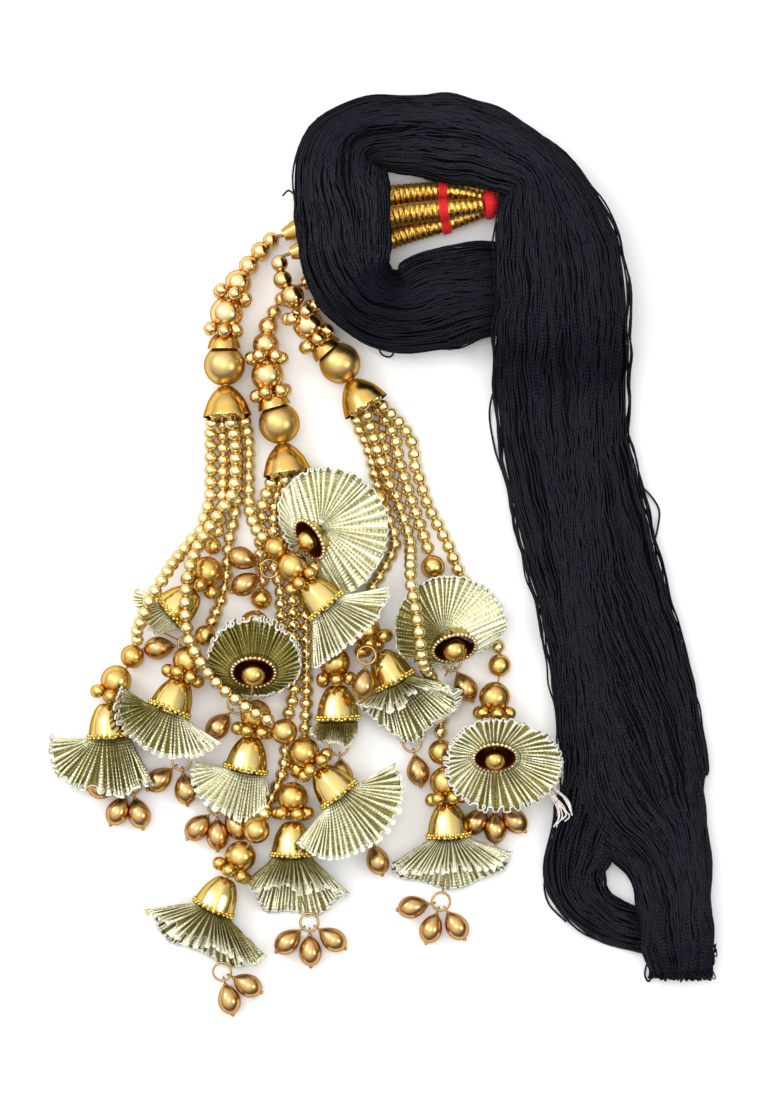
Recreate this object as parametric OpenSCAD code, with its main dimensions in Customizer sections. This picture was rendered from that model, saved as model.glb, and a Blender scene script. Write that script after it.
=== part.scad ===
/* [Beads] */
// Diameter of the small beads on the fifteen strands, and of the strand itself
strand_bead_d = 4; // [3:0.5:5]
// Diameter of the satin bead above each bell
matte_bead_d = 13.6; // [12:0.2:15]
// Diameter of the bead held in the mouth of each bud's cap
stopper_d = 7; // [5:0.5:7.5]
// Distance from the axis to the middle of a ring of small beads
bead_ring_r = 5.1; // [4.8:0.1:5.4]
// Diameter of the small beads in a ring
ring_bead_d = 4.2; // [3.6:0.1:4.4]

/* [Threads] */
// Diameter of the thread through the fifteen strands
thread_d = 0.9; // [0.6:0.1:1]
// Diameter of the thread through the three upper strings
string_d = 1.2; // [0.8:0.1:1.4]
// Width of the gap between a thread and the bead it passes through
bore_gap = 0.35; // [0.3:0.05:0.5]

/* [Bells and caps] */
// Diameter of a bell's mouth
bell_d = 16; // [14:0.5:17]
// Length of a bell
bell_l = 10; // [8:0.5:11]
// Thickness of the sheet metal of bells and caps
sheet_t = 0.8; // [0.5:0.1:1]
// Diameter of a bud cap's rim
cap_d = 14.2; // [12:0.2:15]
// Length of a bud cap
cap_l = 11; // [9:0.5:12]
// Diameter of a bud cap's small end
cap_top_d = 4.8; // [4:0.2:5.4]

/* [Ribbon skirts] */
// Number of pleats round a skirt
pleats = 22; // [12:1:30]
// Depth of a pleat at the hem
pleat_depth = 2; // [1:0.2:2.4]
// Depth of a pleat where the ribbon is gathered
gather_depth = 0.5; // [0.2:0.1:0.8]
// Thickness of the ribbon with its woven edge
ribbon_t = 1.1; // [1:0.1:1.5]
// Radius of the gathered edge at the cap's rim
gather_r = 6.1; // [5:0.1:6.4]

/* [Drops] */
// Diameter of a drop
drop_d = 7.3; // [6:0.1:8]
// Length of a drop
drop_l = 10; // [8:0.5:11]
// Radius of the jump ring that holds the drops, to the middle of its wire
jump_r = 3; // [2.5:0.1:3.5]
// Diameter of the ring wire
wire_d = 0.8; // [0.6:0.1:1]

/* [Wrapped cords] */
// Diameter of a wrapped cord at the knob
cord_knob_d = 5.2; // [4:0.2:6]
// Diameter of a wrapped cord at its cap
cord_cap_d = 7.4; // [6:0.2:8]

/* [Thread hank] */
// Number of sides of the hank's cross-section
hank_sides = 16; // [12:2:24]
// Squareness of the cross-section: 2 is an ellipse
hank_square = 2.6; // [2:0.1:4]

/* [Hidden] */
$fn = 32;

// The origin is under the middle of the whole object's box
middle = [-1.61, -0.34, 0];

gold = [0.86, 0.66, 0.30];
bright_gold = [0.93, 0.74, 0.22];
satin_gold = [0.76, 0.60, 0.30];
copper = [0.78, 0.50, 0.30];
silver_green = [0.78, 0.80, 0.70];
black = [0.06, 0.06, 0.08];
red = [0.80, 0.06, 0.10];

bud_b_d = 10.2;
bead_r = strand_bead_d / 2;
bore_r = thread_d / 2 + bore_gap;
string_bore_r = string_d / 2 + bore_gap;
ring_seat = sqrt(pow(5.1 + ring_bead_d / 2 + 0.15, 2) - pow(bead_ring_r, 2));

// Hank stations: middle x, y, z, width across, thickness
HANK = [
    [39, 116.5, 6, 9.5, 9],
    [48, 116, 5.5, 13, 9.5],
    [57, 113.5, 5.3, 17, 10],
    [64, 106.5, 5.3, 20, 10],
    [65.5, 98, 5.3, 22, 10],
    [60.5, 91, 5.3, 25, 10],
    [50, 88, 5.3, 28, 10],
    [35, 88, 6, 31, 10.5],
    [18, 84.5, 7, 34, 11],
    [6, 80.5, 9, 28, 12],
    [-4, 82.5, 14, 26, 12],
    [-11, 89.5, 18.6, 27, 12],
    [-13.5, 100, 20, 30.5, 11.5],
    [-14, 113, 20, 31.5, 11.5],
    [-15, 124.5, 18.5, 31, 11.5],
    [-12.5, 133.5, 14, 29.5, 12],
    [-5, 138.5, 9, 25, 12],
    [8, 139, 7, 26.5, 12],
    [22, 137.5, 8, 29.5, 12],
    [35.5, 132.5, 12.5, 28, 11],
    [47, 124.5, 16, 28, 10],
    [54.5, 114, 16.4, 33, 9.5],
    [57.8, 100, 16.2, 40, 9],
    [58, 85, 15.5, 45, 9],
    [58, 70, 12.6, 46.5, 9],
    [58.2, 54, 6, 46, 8.5],
    [59.8, 36, 4.4, 44.5, 8.5],
    [63.5, 18, 4.4, 45, 8.5],
    [67.7, 1, 4.4, 45, 8.5],
    [71.8, -15.5, 4.4, 44.5, 8.5],
    [76, -32, 4.3, 46, 8.3],
    [79.5, -48.5, 4.2, 47.5, 8],
    [82.2, -65, 4.1, 49, 7.8],
    [84.2, -80, 4.1, 49, 7.8],
    [90.5, -93, 4.2, 36, 8],
    [94.5, -105, 4.8, 28, 8],
    [96, -118, 7, 24.5, 7],
    [97.3, -130, 6, 23, 6.5],
    [98.2, -140, 4, 19, 6]
];

// The strand of threads that leaves the hank's left edge and turns under its end
END_LOOP = [
    [65.6, -97.8, 3.6, 21, 7],
    [62.3, -107, 3.4, 19.2, 6.6],
    [65.5, -114.5, 3.1, 16, 6],
    [72, -121.5, 2.6, 14, 5],
    [82, -126, 1.6, 13, 3],
    [94, -127.5, 1.3, 12, 2.4]
];

// Wrapped cords: points from the knob to the cap, x, y, z
CORDS = [
    [[32, 118.7, 4.2], [20, 120.6, 3.8], [3, 119.2, 4], [-12, 116, 4.2], [-25, 110, 4.8]],
    [[32, 115.5, 9.5], [20, 114, 10.4], [3, 112, 9], [-12, 107.4, 8.5], [-23, 102, 8.6]],
    [[32, 112.8, 4.2], [20, 110, 3.8], [3, 105.3, 4], [-10, 99, 4.2], [-20, 93.5, 4.8]]
];

// Small ends of the cords' caps, x, y, z
CORD_TIPS = [[-34, 105.8, 4.8], [-31.6, 99.6, 8.6], [-27.5, 89.5, 4.8]];

// Strings, one row a bead: x, y, z, diameter. A diameter of 0 is a ring of small beads
STRINGS = [
    [
        [-38.3, 104.3, 3.2, 4.7], [-41.8, 100.6, 3.6, 5.6], [-45.6, 95.8, 4.6, 5.8],
        [-49, 90, 6.4, 7.7], [-50.8, 85.6, 7.4, 0], [-52.9, 79.8, 7.4, 9.6],
        [-53.8, 74.3, 7.4, 0]
    ],
    [
        [-35.2, 96.2, 8.8, 4.8], [-34.2, 90.8, 9.4, 5.4],
        [-31, 85.3, 9.8, 7], [-28, 79.9, 9.1, 0], [-25.8, 76, 8.6, 8.8],
        [-23.1, 71.4, 7.8, 0]
    ],
    [
        [-31.5, 87.6, 2.2, 4], [-34.8, 84.8, 2.2, 4], [-37.3, 80.4, 2.6, 4],
        [-39.2, 75.6, 3.6, 5.6], [-39.9, 69.4, 5.6, 7.6], [-39.7, 65, 7.3, 0],
        [-39.3, 59.2, 7.3, 9.4], [-38.4, 53.6, 7.3, 0]
    ]
];

// Satin beads and bells: satin bead x, y, then the middle of the bell's mouth x, y
TASSEL_HEADS = [
    [-53.6, 62.6, -52.6, 45.7],
    [-15.3, 63.3, -6.6, 48.8],
    [-35.4, 43.3, -32.7, 26.7]
];

// Buds, in columns: bead before last x, y, z and diameter, last bead x, y, z, middle of the
// cap's rim x, y, z, the cap's heading and rise in degrees, and the tassel that it hangs from
BUDS = [
    [-84.3, -34, 4.2, 7.8, -89.5, -42, 7.3, -91.5, -60.5, 7.7, -85, 0, 1],
    [-60, -27, 8, 6.8, -65.5, -35.4, 9.3, -71.7, -51.7, 11.4, -112, 5, 1],
    [-57.6, 2.6, 3.4, 5.6, -59.3, -5.9, 7.2, -71.5, -19.5, 7.7, -140, 0, 1],
    [-41.5, -14.8, 3.7, 7, -43.6, -23.8, 7.2, -43.7, -39.3, 15.4, -90, 44, 3],
    [-41, -44.6, 3.9, 7, -43.2, -53.4, 7.2, -46.6, -71.6, 7.7, -101, 0, 3],
    [-2.3, 18.3, 7.6, 6.8, -11.2, 12.8, 7.4, -25.5, 4.6, 13.1, -149, 30, 2],
    [-36.3, 2, 14.9, 7.8, -30.8, -4.3, 16.7, -19.5, -17.3, 16.5, -50, 0, 1],
    [-17.6, -26.9, 3.6, 6.4, -17, -36, 7.2, -15.9, -54.6, 7.7, -88, 0, 3],
    [-7, -15.5, 3.6, 6.4, -7, -25.2, 6.2, 3, -42.3, 7.8, -62, 0, 2],
    [15.6, -4.3, 4.1, 7.9, 18, -14, 7.2, 22.6, -31.3, 14.6, -77, 38, 2],
    [37.7, -37, 3.9, 7.4, 36, -47.5, 7.2, 36, -67.5, 15, -90, 42, 2],
    [18.2, -65.8, 4.3, 8.2, 19.6, -75.6, 7.3, 20.8, -93.6, 7.7, -87, 0, 2],
    [-33.5, -58.6, 13.4, 8.6, -27, -65.6, 12.6, -15.3, -79.7, 12.6, -52, 0, 1],
    [-29, -71.6, 3.4, 6.4, -31, -80.7, 7.2, -31, -99.8, 7.7, -90, 0, 3],
    [-42.9, -91.4, 10.4, 8.8, -48.3, -100.3, 7.2, -57.3, -117.6, 7.7, -115, 0, 3]
];

// Skirts, in columns: hem's reach to the left and right of the heading, how far forward of
// the rim it is at the left, right, top and bottom, and its height at the same four places
SKIRTS = [
    [11, 20.5, 16, 0, 18.5, 10.5, 8, 7.5, 10.6, 1.8],
    [18, 17.5, 4, -2, 14, 8.5, 9, 18.3, 15.4, 12.7],
    [3, 13, 4, 4, 8.5, 6, 4, 4, 7, 1.8],
    [15.5, 15.5, -3, -3, -18, 8, 13, 13, 17, 9.6],
    [8.5, 17, 5, 2, 16, 11.2, 7, 4, 7.5, 2],
    [22, 20, -2, -7, -27, 6.6, 6.8, 16, 17, 6.6],
    [18.5, 16, 8.5, 12.5, 14, 12, 17, 16, 19, 15.4],
    [5, 7.5, 4, 4, 6.5, 6.5, 4, 4, 9, 1.8],
    [15.8, 13.5, 14, -1, 6, 20, 13.4, 6, 11, 6.6],
    [18.5, 18.5, -6, -6, -24, 4, 12, 8, 12.4, 6.6],
    [22, 16, 2, 2, -13, 17, 13, 15.8, 17.6, 14.6],
    [19, 19, 8, 8, 11, 17, 4, 4, 7, 1.8],
    [20, 20, 4, 4, 19, 12, 12, 17, 15, 11.5],
    [16.5, 13, 13, 10, 10, 20, 4, 4, 8, 1.8],
    [20, 19.5, 9, 9, 11.5, 16, 4, 4, 7.4, 1.8]
];

// Drops: jump ring x, y, z, the headings of its drops, and a point that its thread turns at
DROPS = [
    [-84.6, -77, 3.75, [184, -118, -75], []],
    [-68, -68.8, 3.75, [-140, -82], [-75.8, -61.8, 8.5]],
    [-66, -30, 3.75, [187], [-77.1, -24.6, 4.2]],
    [-49.6, -50, 3.75, [-130], [-44.8, -48, 13]],
    [-56.2, -83.8, 3.75, [-132, -89, -46], []],
    [-38.5, -4.8, 8.2, [160, -148], [-34, -1.4, 9.4]],
    [-6.4, -33.4, 15.6, [-96], []],
    [-15.6, -63.9, 3.75, [-85], []],
    [8.6, -62.7, 3.75, [-78], [11.2, -57.8, 4.2]],
    [21.8, -35.8, 3.75, [-62], [19.6, -40.4, 9.5]],
    [36, -81.6, 3.75, [-130, -88, -46], []],
    [18.3, -115.5, 3.75, [-169, -110, -58], []],
    [-5.8, -92.6, 3.75, [-72], []],
    [-25.5, -122.4, 3.75, [-138, -88, -36], []],
    [-54.5, -138.8, 3.75, [-76, -28], []]
];

// Strands, from inside the bell to the bud: x, y, z
STRANDS = [
    [
        [-56.3, 48.7, 9.3], [-57.9, 43, 6.3], [-58.4, 36, 2.3], [-58.3, 28, 2.1], [-58.7, 18, 2.1],
        [-60.2, 13.3, 2.1], [-61.8, 7.5, 2.1], [-64.8, 4.4, 2.1], [-67.5, 0.8, 4],
        [-70.5, -3, 8.5], [-73, -7.2, 13], [-75.5, -11.2, 15], [-77.8, -15, 15],
        [-80.5, -21.3, 13], [-82.5, -26, 9]
    ],
    [
        [-50.5, 49, 5], [-50.1, 43, 2.8], [-49.9, 36, 2.1], [-49.9, 18, 2.1], [-50.8, 11, 2.1],
        [-52, 5, 2.1], [-52.7, -1, 2.1], [-53.2, -8, 2.1], [-54.5, -14, 2.1], [-57, -20.5, 2.8]
    ],
    [
        [-54.9, 48.7, 5.1], [-54.4, 43, 2.9], [-54.1, 36, 2.1], [-54.1, 28, 2.1],
        [-54.3, 18, 2.1], [-55.4, 11, 2.1], [-56.3, 7, 2.5]
    ],
    [
        [-36.6, 29.1, 9.3], [-38, 24, 7], [-40.7, 17, 4.1], [-41.4, 12, 2.4], [-41.6, 8, 2.1],
        [-41.9, 0, 2.1], [-41.2, -7, 2.4]
    ],
    [
        [-35.2, 29.3, 5.5], [-35.5, 23, 3.2], [-36.8, 17, 2.1], [-37.3, 10, 2.1],
        [-37.7, 0, 2.1], [-37, -5, 2.1], [-35.2, -11, 2.1], [-34.9, -20, 2.1],
        [-34.9, -36, 2.1], [-37.8, -40.2, 2.8]
    ],
    [
        [-8.15, 51.4, 12.1], [-6.5, 47, 11], [-4.5, 40, 8], [-2.4, 33, 6.4], [-0.2, 27, 6.4],
        [1.4, 22.5, 7]
    ],
    [
        [-49.1, 49, 9.35], [-46.6, 43, 6.3], [-45.7, 36, 2.3], [-45.7, 28, 2.1],
        [-45.7, 19, 2.3], [-45.2, 14.5, 5], [-43.8, 10, 8], [-41.5, 6.2, 11]
    ],
    [
        [-29.5, 30.3, 9.4], [-27, 24, 6.5], [-24.9, 17, 2.6], [-24.6, 10, 2.1],
        [-24.9, 0, 2.1], [-24, -5, 2.1], [-22.2, -11, 2.1], [-19.5, -18.5, 2.4]
    ],
    [
        [-11.3, 49.5, 9.4], [-10, 46, 7.6], [-9, 42, 4.9], [-7, 38, 2.6], [-5.2, 33, 2.1],
        [-4.3, 29, 2.1], [-3.2, 25, 2.1], [-0.9, 17, 2.1], [1.6, 9.2, 2.1], [2.9, 5.2, 2.1],
        [2.4, 1.2, 2.1], [0.4, -2.8, 2.1], [-2, -7, 2.1], [-4.5, -11, 2.6]
    ],
    [
        [-6.18, 52.6, 5.05], [-1.5, 46.5, 2.6], [2.8, 39, 2.1], [4, 33, 2.1], [4.9, 29, 2.1],
        [7.4, 21, 2.1], [8.7, 17, 2.1], [11.5, 9, 2.1], [13.1, 4.3, 2.3]
    ],
    [
        [-4.98, 53.3, 9.4], [-1, 49, 7.8], [4.5, 43.7, 3.9], [8.2, 38.5, 2.1], [9.4, 34, 2.1],
        [9.9, 29, 2.1], [11.6, 24, 2.1], [13.2, 18.5, 2.1], [15.6, 13, 2.1], [18.2, 8, 2.1],
        [21.5, 1.3, 2.1], [23.2, -3.3, 2.1], [26, -9.3, 2.1], [33.5, -23.5, 2.1],
        [36.7, -29.5, 2.4]
    ],
    [
        [-10.1, 50.2, 5.05], [-5.5, 44, 2.6], [-1.4, 38, 2.1], [-0.2, 33, 2.1], [0.4, 29, 2.1],
        [1.4, 25, 2.1], [3.9, 17, 2.1], [6.6, 9, 2.1], [7.8, 5.2, 2.3], [8.2, 0, 7],
        [8.2, -4.5, 13.5], [8.4, -10.3, 17], [9.8, -18, 20], [11, -26, 21.7],
        [11.5, -30.5, 21.3], [12, -34.2, 18.4], [12.7, -36.8, 14.8], [13.6, -38.6, 11.2],
        [14.4, -39.8, 8.2], [15.1, -40.9, 5.4], [15.8, -42.6, 3], [16.8, -45.4, 2.2],
        [18.2, -52, 2.1], [18.4, -56, 2.4]
    ],
    [
        [-52.8, 49, 12.05], [-51.2, 43, 9.4], [-49.9, 36, 6.5], [-50.3, 22, 6.4],
        [-53, 16.7, 6.5], [-57.7, 10, 6.8], [-61.9, 3, 10], [-64.4, -4, 15.4],
        [-65.7, -11, 16.6], [-66, -20, 16], [-65, -27.5, 16.4], [-62.4, -33, 17.2],
        [-58.6, -39, 17.4], [-53.7, -44.2, 16.4], [-46.7, -50, 15.4], [-40.2, -54, 14.8]
    ],
    [
        [-30.9, 30.1, 5.3], [-30.3, 24, 2.8], [-29, 17, 2.1], [-28.9, 10, 2.1],
        [-29.1, 0, 2.1], [-28.2, -5, 2.1], [-26.7, -11, 2.1], [-26.5, -20, 2.1],
        [-26.5, -50, 2.1], [-27.6, -66, 2.3]
    ],
    [
        [-33.2, 29.7, 12.1], [-33.2, 24, 8], [-33.1, 17, 4.6], [-33.1, 10, 2.1],
        [-33.3, 0, 2.1], [-32.4, -5, 2.1], [-30.9, -11, 2.1], [-30.7, -20, 2.1],
        [-30.7, -44, 2.1], [-33, -56, 2.1], [-33.8, -70, 2.1], [-36.5, -78, 2.1],
        [-39.4, -83.5, 2.6]
    ]
];

function unit(v) = v / norm(v);
function mix(a, b, t) = a * (1 - t) + b * t;
function heading(az, rise) = [cos(az) * cos(rise), sin(az) * cos(rise), sin(rise)];
function flat(p) = [p.x, p.y, 0];

// Direction of a path at its point i: the mean of the two stretches that meet there
function tangent(path, i) =
    let (last = len(path) - 1)
    let (before = i == 0 ? unit(path[1] - path[0]) : unit(path[i] - path[i - 1]))
    let (after = i == last ? before : unit(path[i + 1] - path[i]))
    unit(before + after);

// One vector across the path at each point, turned as little as possible from point to point
function across(path, i = 0, list = []) =
    i == len(path) ? list :
    let (t = tangent(path, i))
    let (start = abs(t.z) < 0.9 ? cross(t, [0, 0, 1]) : cross(t, [1, 0, 0]))
    let (carried = i == 0 ? start : list[i - 1] - t * (list[i - 1] * t))
    across(path, i + 1, concat(list, [unit(carried)]));

// Faces of a closed skin over rings of equal size, with flat ends
function skin_faces(rings, sides) = concat(
    [[for (j = [sides - 1 : -1 : 0]) j]],
    [
        for (i = [0 : rings - 2], j = [0 : sides - 1])
        let (k = (j + 1) % sides)
        [i * sides + j, i * sides + k, (i + 1) * sides + k, (i + 1) * sides + j]
    ],
    [[for (j = [0 : sides - 1]) (rings - 1) * sides + j]]
);

// Round tube along a path, with a radius of its own at each point
module swept(path, radii, sides = 8) {
    side = across(path);
    points = [
        for (i = [0 : len(path) - 1])
        let (t = tangent(path, i))
        let (up = cross(side[i], t))
        for (j = [0 : sides - 1])
        let (a = 360 * j / sides)
        path[i] + radii[i] * (cos(a) * side[i] + sin(a) * up)
    ];
    polyhedron(points, skin_faces(len(path), sides), convexity = 6);
}

// Puts what it holds at a point, with its own Z axis along a direction
module aimed(at, dir) {
    translate(at)
        rotate([0, acos(dir.z / norm(dir)), atan2(dir.y, dir.x)])
            children();
}

module drilled_bead(at, dir, d, hole_r) {
    aimed(at, dir) difference() {
        sphere(d = d);
        cylinder(h = d + 1, r = hole_r, center = true);
    }
}

// A ring of small beads on one thread, as the ring that they fill
module bead_ring(at, dir) {
    aimed(at, dir) rotate_extrude() translate([bead_ring_r, 0]) circle(d = ring_bead_d);
}

// Cone of sheet metal with a hole at its small end, which is at the origin, opening up +Z
module sheet_cone(top_d, mouth_d, length, hole_r, lip) {
    rotate_extrude() polygon([
        [hole_r, 0], [top_d / 2, 0], [mouth_d / 2 - lip, length - lip],
        [mouth_d / 2, length - lip], [mouth_d / 2, length],
        [mouth_d / 2 - lip - sheet_t, length], [top_d / 2 - sheet_t + 0.4, sheet_t],
        [hole_r, sheet_t]
    ]);
}

// Flat bundle of threads along stations of x, y, z, width and thickness
function hank_ring(rows, i) =
    let (path = [for (r = rows) [r.x, r.y, 0]])
    let (t = tangent(path, i))
    let (side = [t.y, -t.x, 0])
    let (row = rows[i])
    [
        for (j = [0 : hank_sides - 1])
        let (a = 360 * (j + 0.5) / hank_sides)
        let (c = sign(cos(a)) * pow(abs(cos(a)), 2 / hank_square))
        let (s = sign(sin(a)) * pow(abs(sin(a)), 2 / hank_square))
        [row.x, row.y, row.z] + side * c * row[3] / 2 + [0, 0, s * row[4] / 2]
    ];

module bundle(rows) {
    points = [for (i = [0 : len(rows) - 1]) each hank_ring(rows, i)];
    polyhedron(points, skin_faces(len(rows), hank_sides), convexity = 8);
}

module thread_hank() {
    color(black) bundle(HANK);
}

module hank_end_loop() {
    color(black) bundle(END_LOOP);
}

module red_knob() {
    color(red) translate([34.8, 115.9, 6.3]) scale([1, 1.9, 2.3]) sphere(d = 5);
}

function cord_radius(path, i) =
    mix(cord_knob_d, cord_cap_d, min(1, i / 2)) / 2;

module wrapped_cord(n) {
    path = CORDS[n - 1];
    color(bright_gold) swept(path, [for (i = [0 : len(path) - 1]) cord_radius(path, i)], 12);
}

module red_tie() {
    color(red) for (path = CORDS) {
        at = mix(path[1], path[2], 0.06);
        dir = unit(path[2] - path[1]);
        aimed(at, dir) difference() {
            cylinder(h = 3.6, d = cord_cap_d, center = true);
            cylinder(h = 5, d = cord_cap_d - 0.7, center = true);
        }
    }
}

module cord_caps() {
    color(bright_gold) for (n = [0 : 2]) {
        path = CORDS[n];
        end = path[len(path) - 1];
        dir = unit(end - CORD_TIPS[n]);
        aimed(CORD_TIPS[n], dir)
            sheet_cone(4, 9.4, norm(end - CORD_TIPS[n]) - 0.8, string_bore_r, 0.4);
    }
}

// The bell's mouth rests on the surface, and the satin bead lies in line behind it
function mouth(n) = let (h = TASSEL_HEADS[n - 1]) [h[2], h[3], bell_d / 2 + 0.2];
function matte(n) = let (h = TASSEL_HEADS[n - 1]) [h[0], h[1], matte_bead_d / 2 + 0.1];
function bell_dir(n) = unit(mouth(n) - matte(n));
function bell_top(n) = mouth(n) - bell_dir(n) * bell_l;

module matte_bead(n) {
    color(satin_gold) drilled_bead(matte(n), bell_dir(n), matte_bead_d, string_bore_r);
}

module bell(n) {
    r = bell_d / 2;
    color(bright_gold) aimed(bell_top(n), bell_dir(n)) rotate_extrude() polygon([
        [string_bore_r, 0], [1.8, 0], [0.42 * r, 0.18 * bell_l], [0.8 * r, 0.55 * bell_l],
        [r, bell_l], [r - sheet_t, bell_l], [0.8 * r - sheet_t, 0.58 * bell_l],
        [0.42 * r - sheet_t, 0.26 * bell_l], [1.5, 0.1 * bell_l], [string_bore_r, 0.1 * bell_l]
    ]);
}

// The fluted cap that holds a string's satin bead opens from the last ring towards the bead
function last_ring(n) = let (rows = STRINGS[n - 1]) let (r = rows[len(rows) - 1]) [r.x, r.y, r.z];
function string_cap_dir(n) = unit(matte(n) - last_ring(n));
function string_cap(n) = matte(n) - string_cap_dir(n) * (matte_bead_d / 2 + 3.8);

// The beads of a string with the direction of the thread at each
function string_rows(n) =
    let (rows = STRINGS[n - 1])
    let (stops = concat([CORD_TIPS[n - 1]], [for (r = rows) [r.x, r.y, r.z]], [matte(n)]))
    [for (i = [0 : len(rows) - 1]) [stops[i + 1], unit(stops[i + 2] - stops[i]), rows[i][3]]];

module string_beads(n) {
    color(gold) for (row = string_rows(n)) {
        if (row[2] > 0) drilled_bead(row[0], row[1], row[2], string_bore_r);
        else bead_ring(row[0], row[1]);
    }
    color(bright_gold) aimed(string_cap(n), string_cap_dir(n))
        sheet_cone(4, 11, 5, string_bore_r, 0.5);
}

module string_thread(n) {
    path = concat(
        [CORD_TIPS[n - 1]],
        [
            for (row = string_rows(n), end = [-1, 1])
            if (row[2] > 0) row[0] + end * row[1] * row[2] / 2
        ],
        [string_cap(n) - string_cap_dir(n) * 0.3, string_cap(n) + string_cap_dir(n) * 1.2],
        [matte(n) - bell_dir(n) * matte_bead_d / 2, bell_top(n) + bell_dir(n) * 3]
    );
    color(red) swept(path, [for (p = path) string_d / 2], 6);
}

// Geometry of a bud
function bud_a(n) = let (b = BUDS[n - 1]) [b[0], b[1], b[2]];
function bud_a_d(n) = BUDS[n - 1][3];
function bud_b(n) = let (b = BUDS[n - 1]) [b[4], b[5], b[6]];
function bud_rim(n) = let (b = BUDS[n - 1]) [b[7], b[8], b[9]];
function bud_dir(n) = let (b = BUDS[n - 1]) heading(b[10], b[11]);
function bud_top(n) = bud_rim(n) - bud_dir(n) * cap_l;
function bud_stopper(n) = bud_rim(n) + bud_dir(n) * 0.5;
function buds_of(tassel) = [for (n = [1 : 15]) if (BUDS[n - 1][12] == tassel) n];
function a_dir(n) =
    let (route = STRANDS[n - 1])
    unit(bud_b(n) - route[len(route) - 1]);
function b_dir(n) = unit(bud_top(n) - bud_a(n));
function seat_dir(n) = unit(bud_top(n) - bud_b(n));

module bud_beads(tassel) {
    color(gold) for (n = buds_of(tassel)) {
        drilled_bead(bud_a(n), a_dir(n), bud_a_d(n), bore_r);
        drilled_bead(bud_b(n), b_dir(n), bud_b_d, bore_r);
        bead_ring(bud_b(n) + seat_dir(n) * ring_seat, seat_dir(n));
        drilled_bead(bud_stopper(n), bud_dir(n), stopper_d, bore_r);
    }
}

module bud_caps(tassel) {
    color(bright_gold) for (n = buds_of(tassel)) {
        aimed(bud_top(n), bud_dir(n)) sheet_cone(cap_top_d, cap_d, cap_l, bore_r, 0.6);
    }
}

function jump_at(n) = let (d = DROPS[n - 1]) [d[0], d[1], d[2]];

// Teardrop on its side with a wire eye round the jump ring's wire, pointing along +X
module drop() {
    eye = 1.05;
    tip = jump_r + eye + 0.2;
    translate([jump_r, 0, 0]) rotate([90, 0, 0])
        rotate_extrude() translate([eye, 0]) circle(d = 0.6);
    translate([tip, 0, 0]) rotate([0, 90, 0]) rotate_extrude() intersection() {
        union() {
            translate([0, drop_l - drop_d / 2]) circle(d = drop_d);
            polygon([[0, 0], [0.5, 0], [drop_d / 2 * 0.93, drop_l * 0.5],
                [drop_d / 2 * 0.97, drop_l * 0.56], [0, drop_l * 0.7]]);
        }
        square([drop_d, drop_l]);
    }
}

module drops(tassel) {
    color(copper) for (n = buds_of(tassel)) {
        translate(jump_at(n)) {
            rotate_extrude() translate([jump_r, 0]) circle(d = wire_d);
            for (a = DROPS[n - 1][3]) rotate([0, 0, a]) drop();
        }
    }
}

// The strand's tube of small beads, then its bare thread through the bud to the jump ring
module strand(n) {
    a = bud_a(n);
    b = bud_b(n);
    tube_end = a - a_dir(n) * (bud_a_d(n) / 2 + 0.7);
    tube = concat(STRANDS[n - 1], [tube_end]);
    leave = bud_stopper(n) + bud_dir(n) * (stopper_d / 2 + 0.5);
    reach = jump_r + (wire_d + thread_d) / 2 + 0.2;
    turn = DROPS[n - 1][4];
    before = len(turn) > 0 ? [turn] : [];
    ring_end = jump_at(n) + unit(flat((len(turn) > 0 ? turn : leave) - jump_at(n))) * reach;
    through = [
        tube_end + a_dir(n) * 0.35, a + a_dir(n) * (bud_a_d(n) / 2 + 0.3),
        b - b_dir(n) * (bud_b_d / 2 + 0.3), b + b_dir(n) * (bud_b_d / 2 + 0.3),
        bud_top(n) - bud_dir(n) * 0.2, leave
    ];
    bare = concat(through, before, [ring_end]);
    radii = concat([for (p = tube) bead_r], [for (p = bare) thread_d / 2]);
    color(gold) swept(concat(tube, bare), radii, 8);
}

// A skirt's ribbon runs from a circle at the cap's rim to a hem that lies as gravity left it
function rim_at(n, phi) =
    let (c = bud_dir(n))
    let (side = unit(cross([0, 0, 1], c)))
    let (up = cross(c, side))
    let (r = BUDS[n - 1][11] > 20 ? cap_d / 2 + 1.4 : gather_r)
    bud_rim(n) + c * (ribbon_t / 2 + 0.4) + r * (cos(phi) * side + sin(phi) * up);

function hem_at(n, phi) =
    let (k = SKIRTS[n - 1])
    let (ahead = unit(flat(bud_dir(n))))
    let (side = [-ahead.y, ahead.x, 0])
    let (left = (1 + cos(phi)) / 2)
    let (end = sin(phi) > 0 ? 4 : 5)
    let (wide = cos(phi) > 0 ? k[0] : k[1])
    let (forward = mix(mix(k[3], k[2], left), k[end], abs(sin(phi))))
    let (z = mix(mix(k[7], k[6], left), k[end + 4], pow(abs(sin(phi)), 0.6)))
    flat(bud_rim(n)) + ahead * forward + side * wide * cos(phi) + [0, 0, z];

function cloth_at(n, phi, t) = mix(rim_at(n, phi), hem_at(n, phi), t);

function cloth_normal(n, phi, t) =
    let (round = cloth_at(n, phi + 2, t) - cloth_at(n, phi - 2, t))
    let (down = cloth_at(n, phi, t + 0.02) - cloth_at(n, phi, t - 0.02))
    unit(cross(round, down));

skirt_rows = [0, 0.5, 1];

function skirt_ring(n, i) =
    let (phi = mix(-84, 264, i / (2 * pleats)))
    let (fold = i % 2 == 0 ? 1 : -1)
    let (lines = [
        for (t = skirt_rows)
        [cloth_at(n, phi, t), cloth_normal(n, phi, t), fold * mix(gather_depth, pleat_depth, t) / 2]
    ])
    concat(
        [for (l = lines) l[0] + l[1] * (l[2] + ribbon_t / 2)],
        [for (i = [len(lines) - 1 : -1 : 0]) lines[i][0] + lines[i][1] * (lines[i][2] - ribbon_t / 2)]
    );

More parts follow.
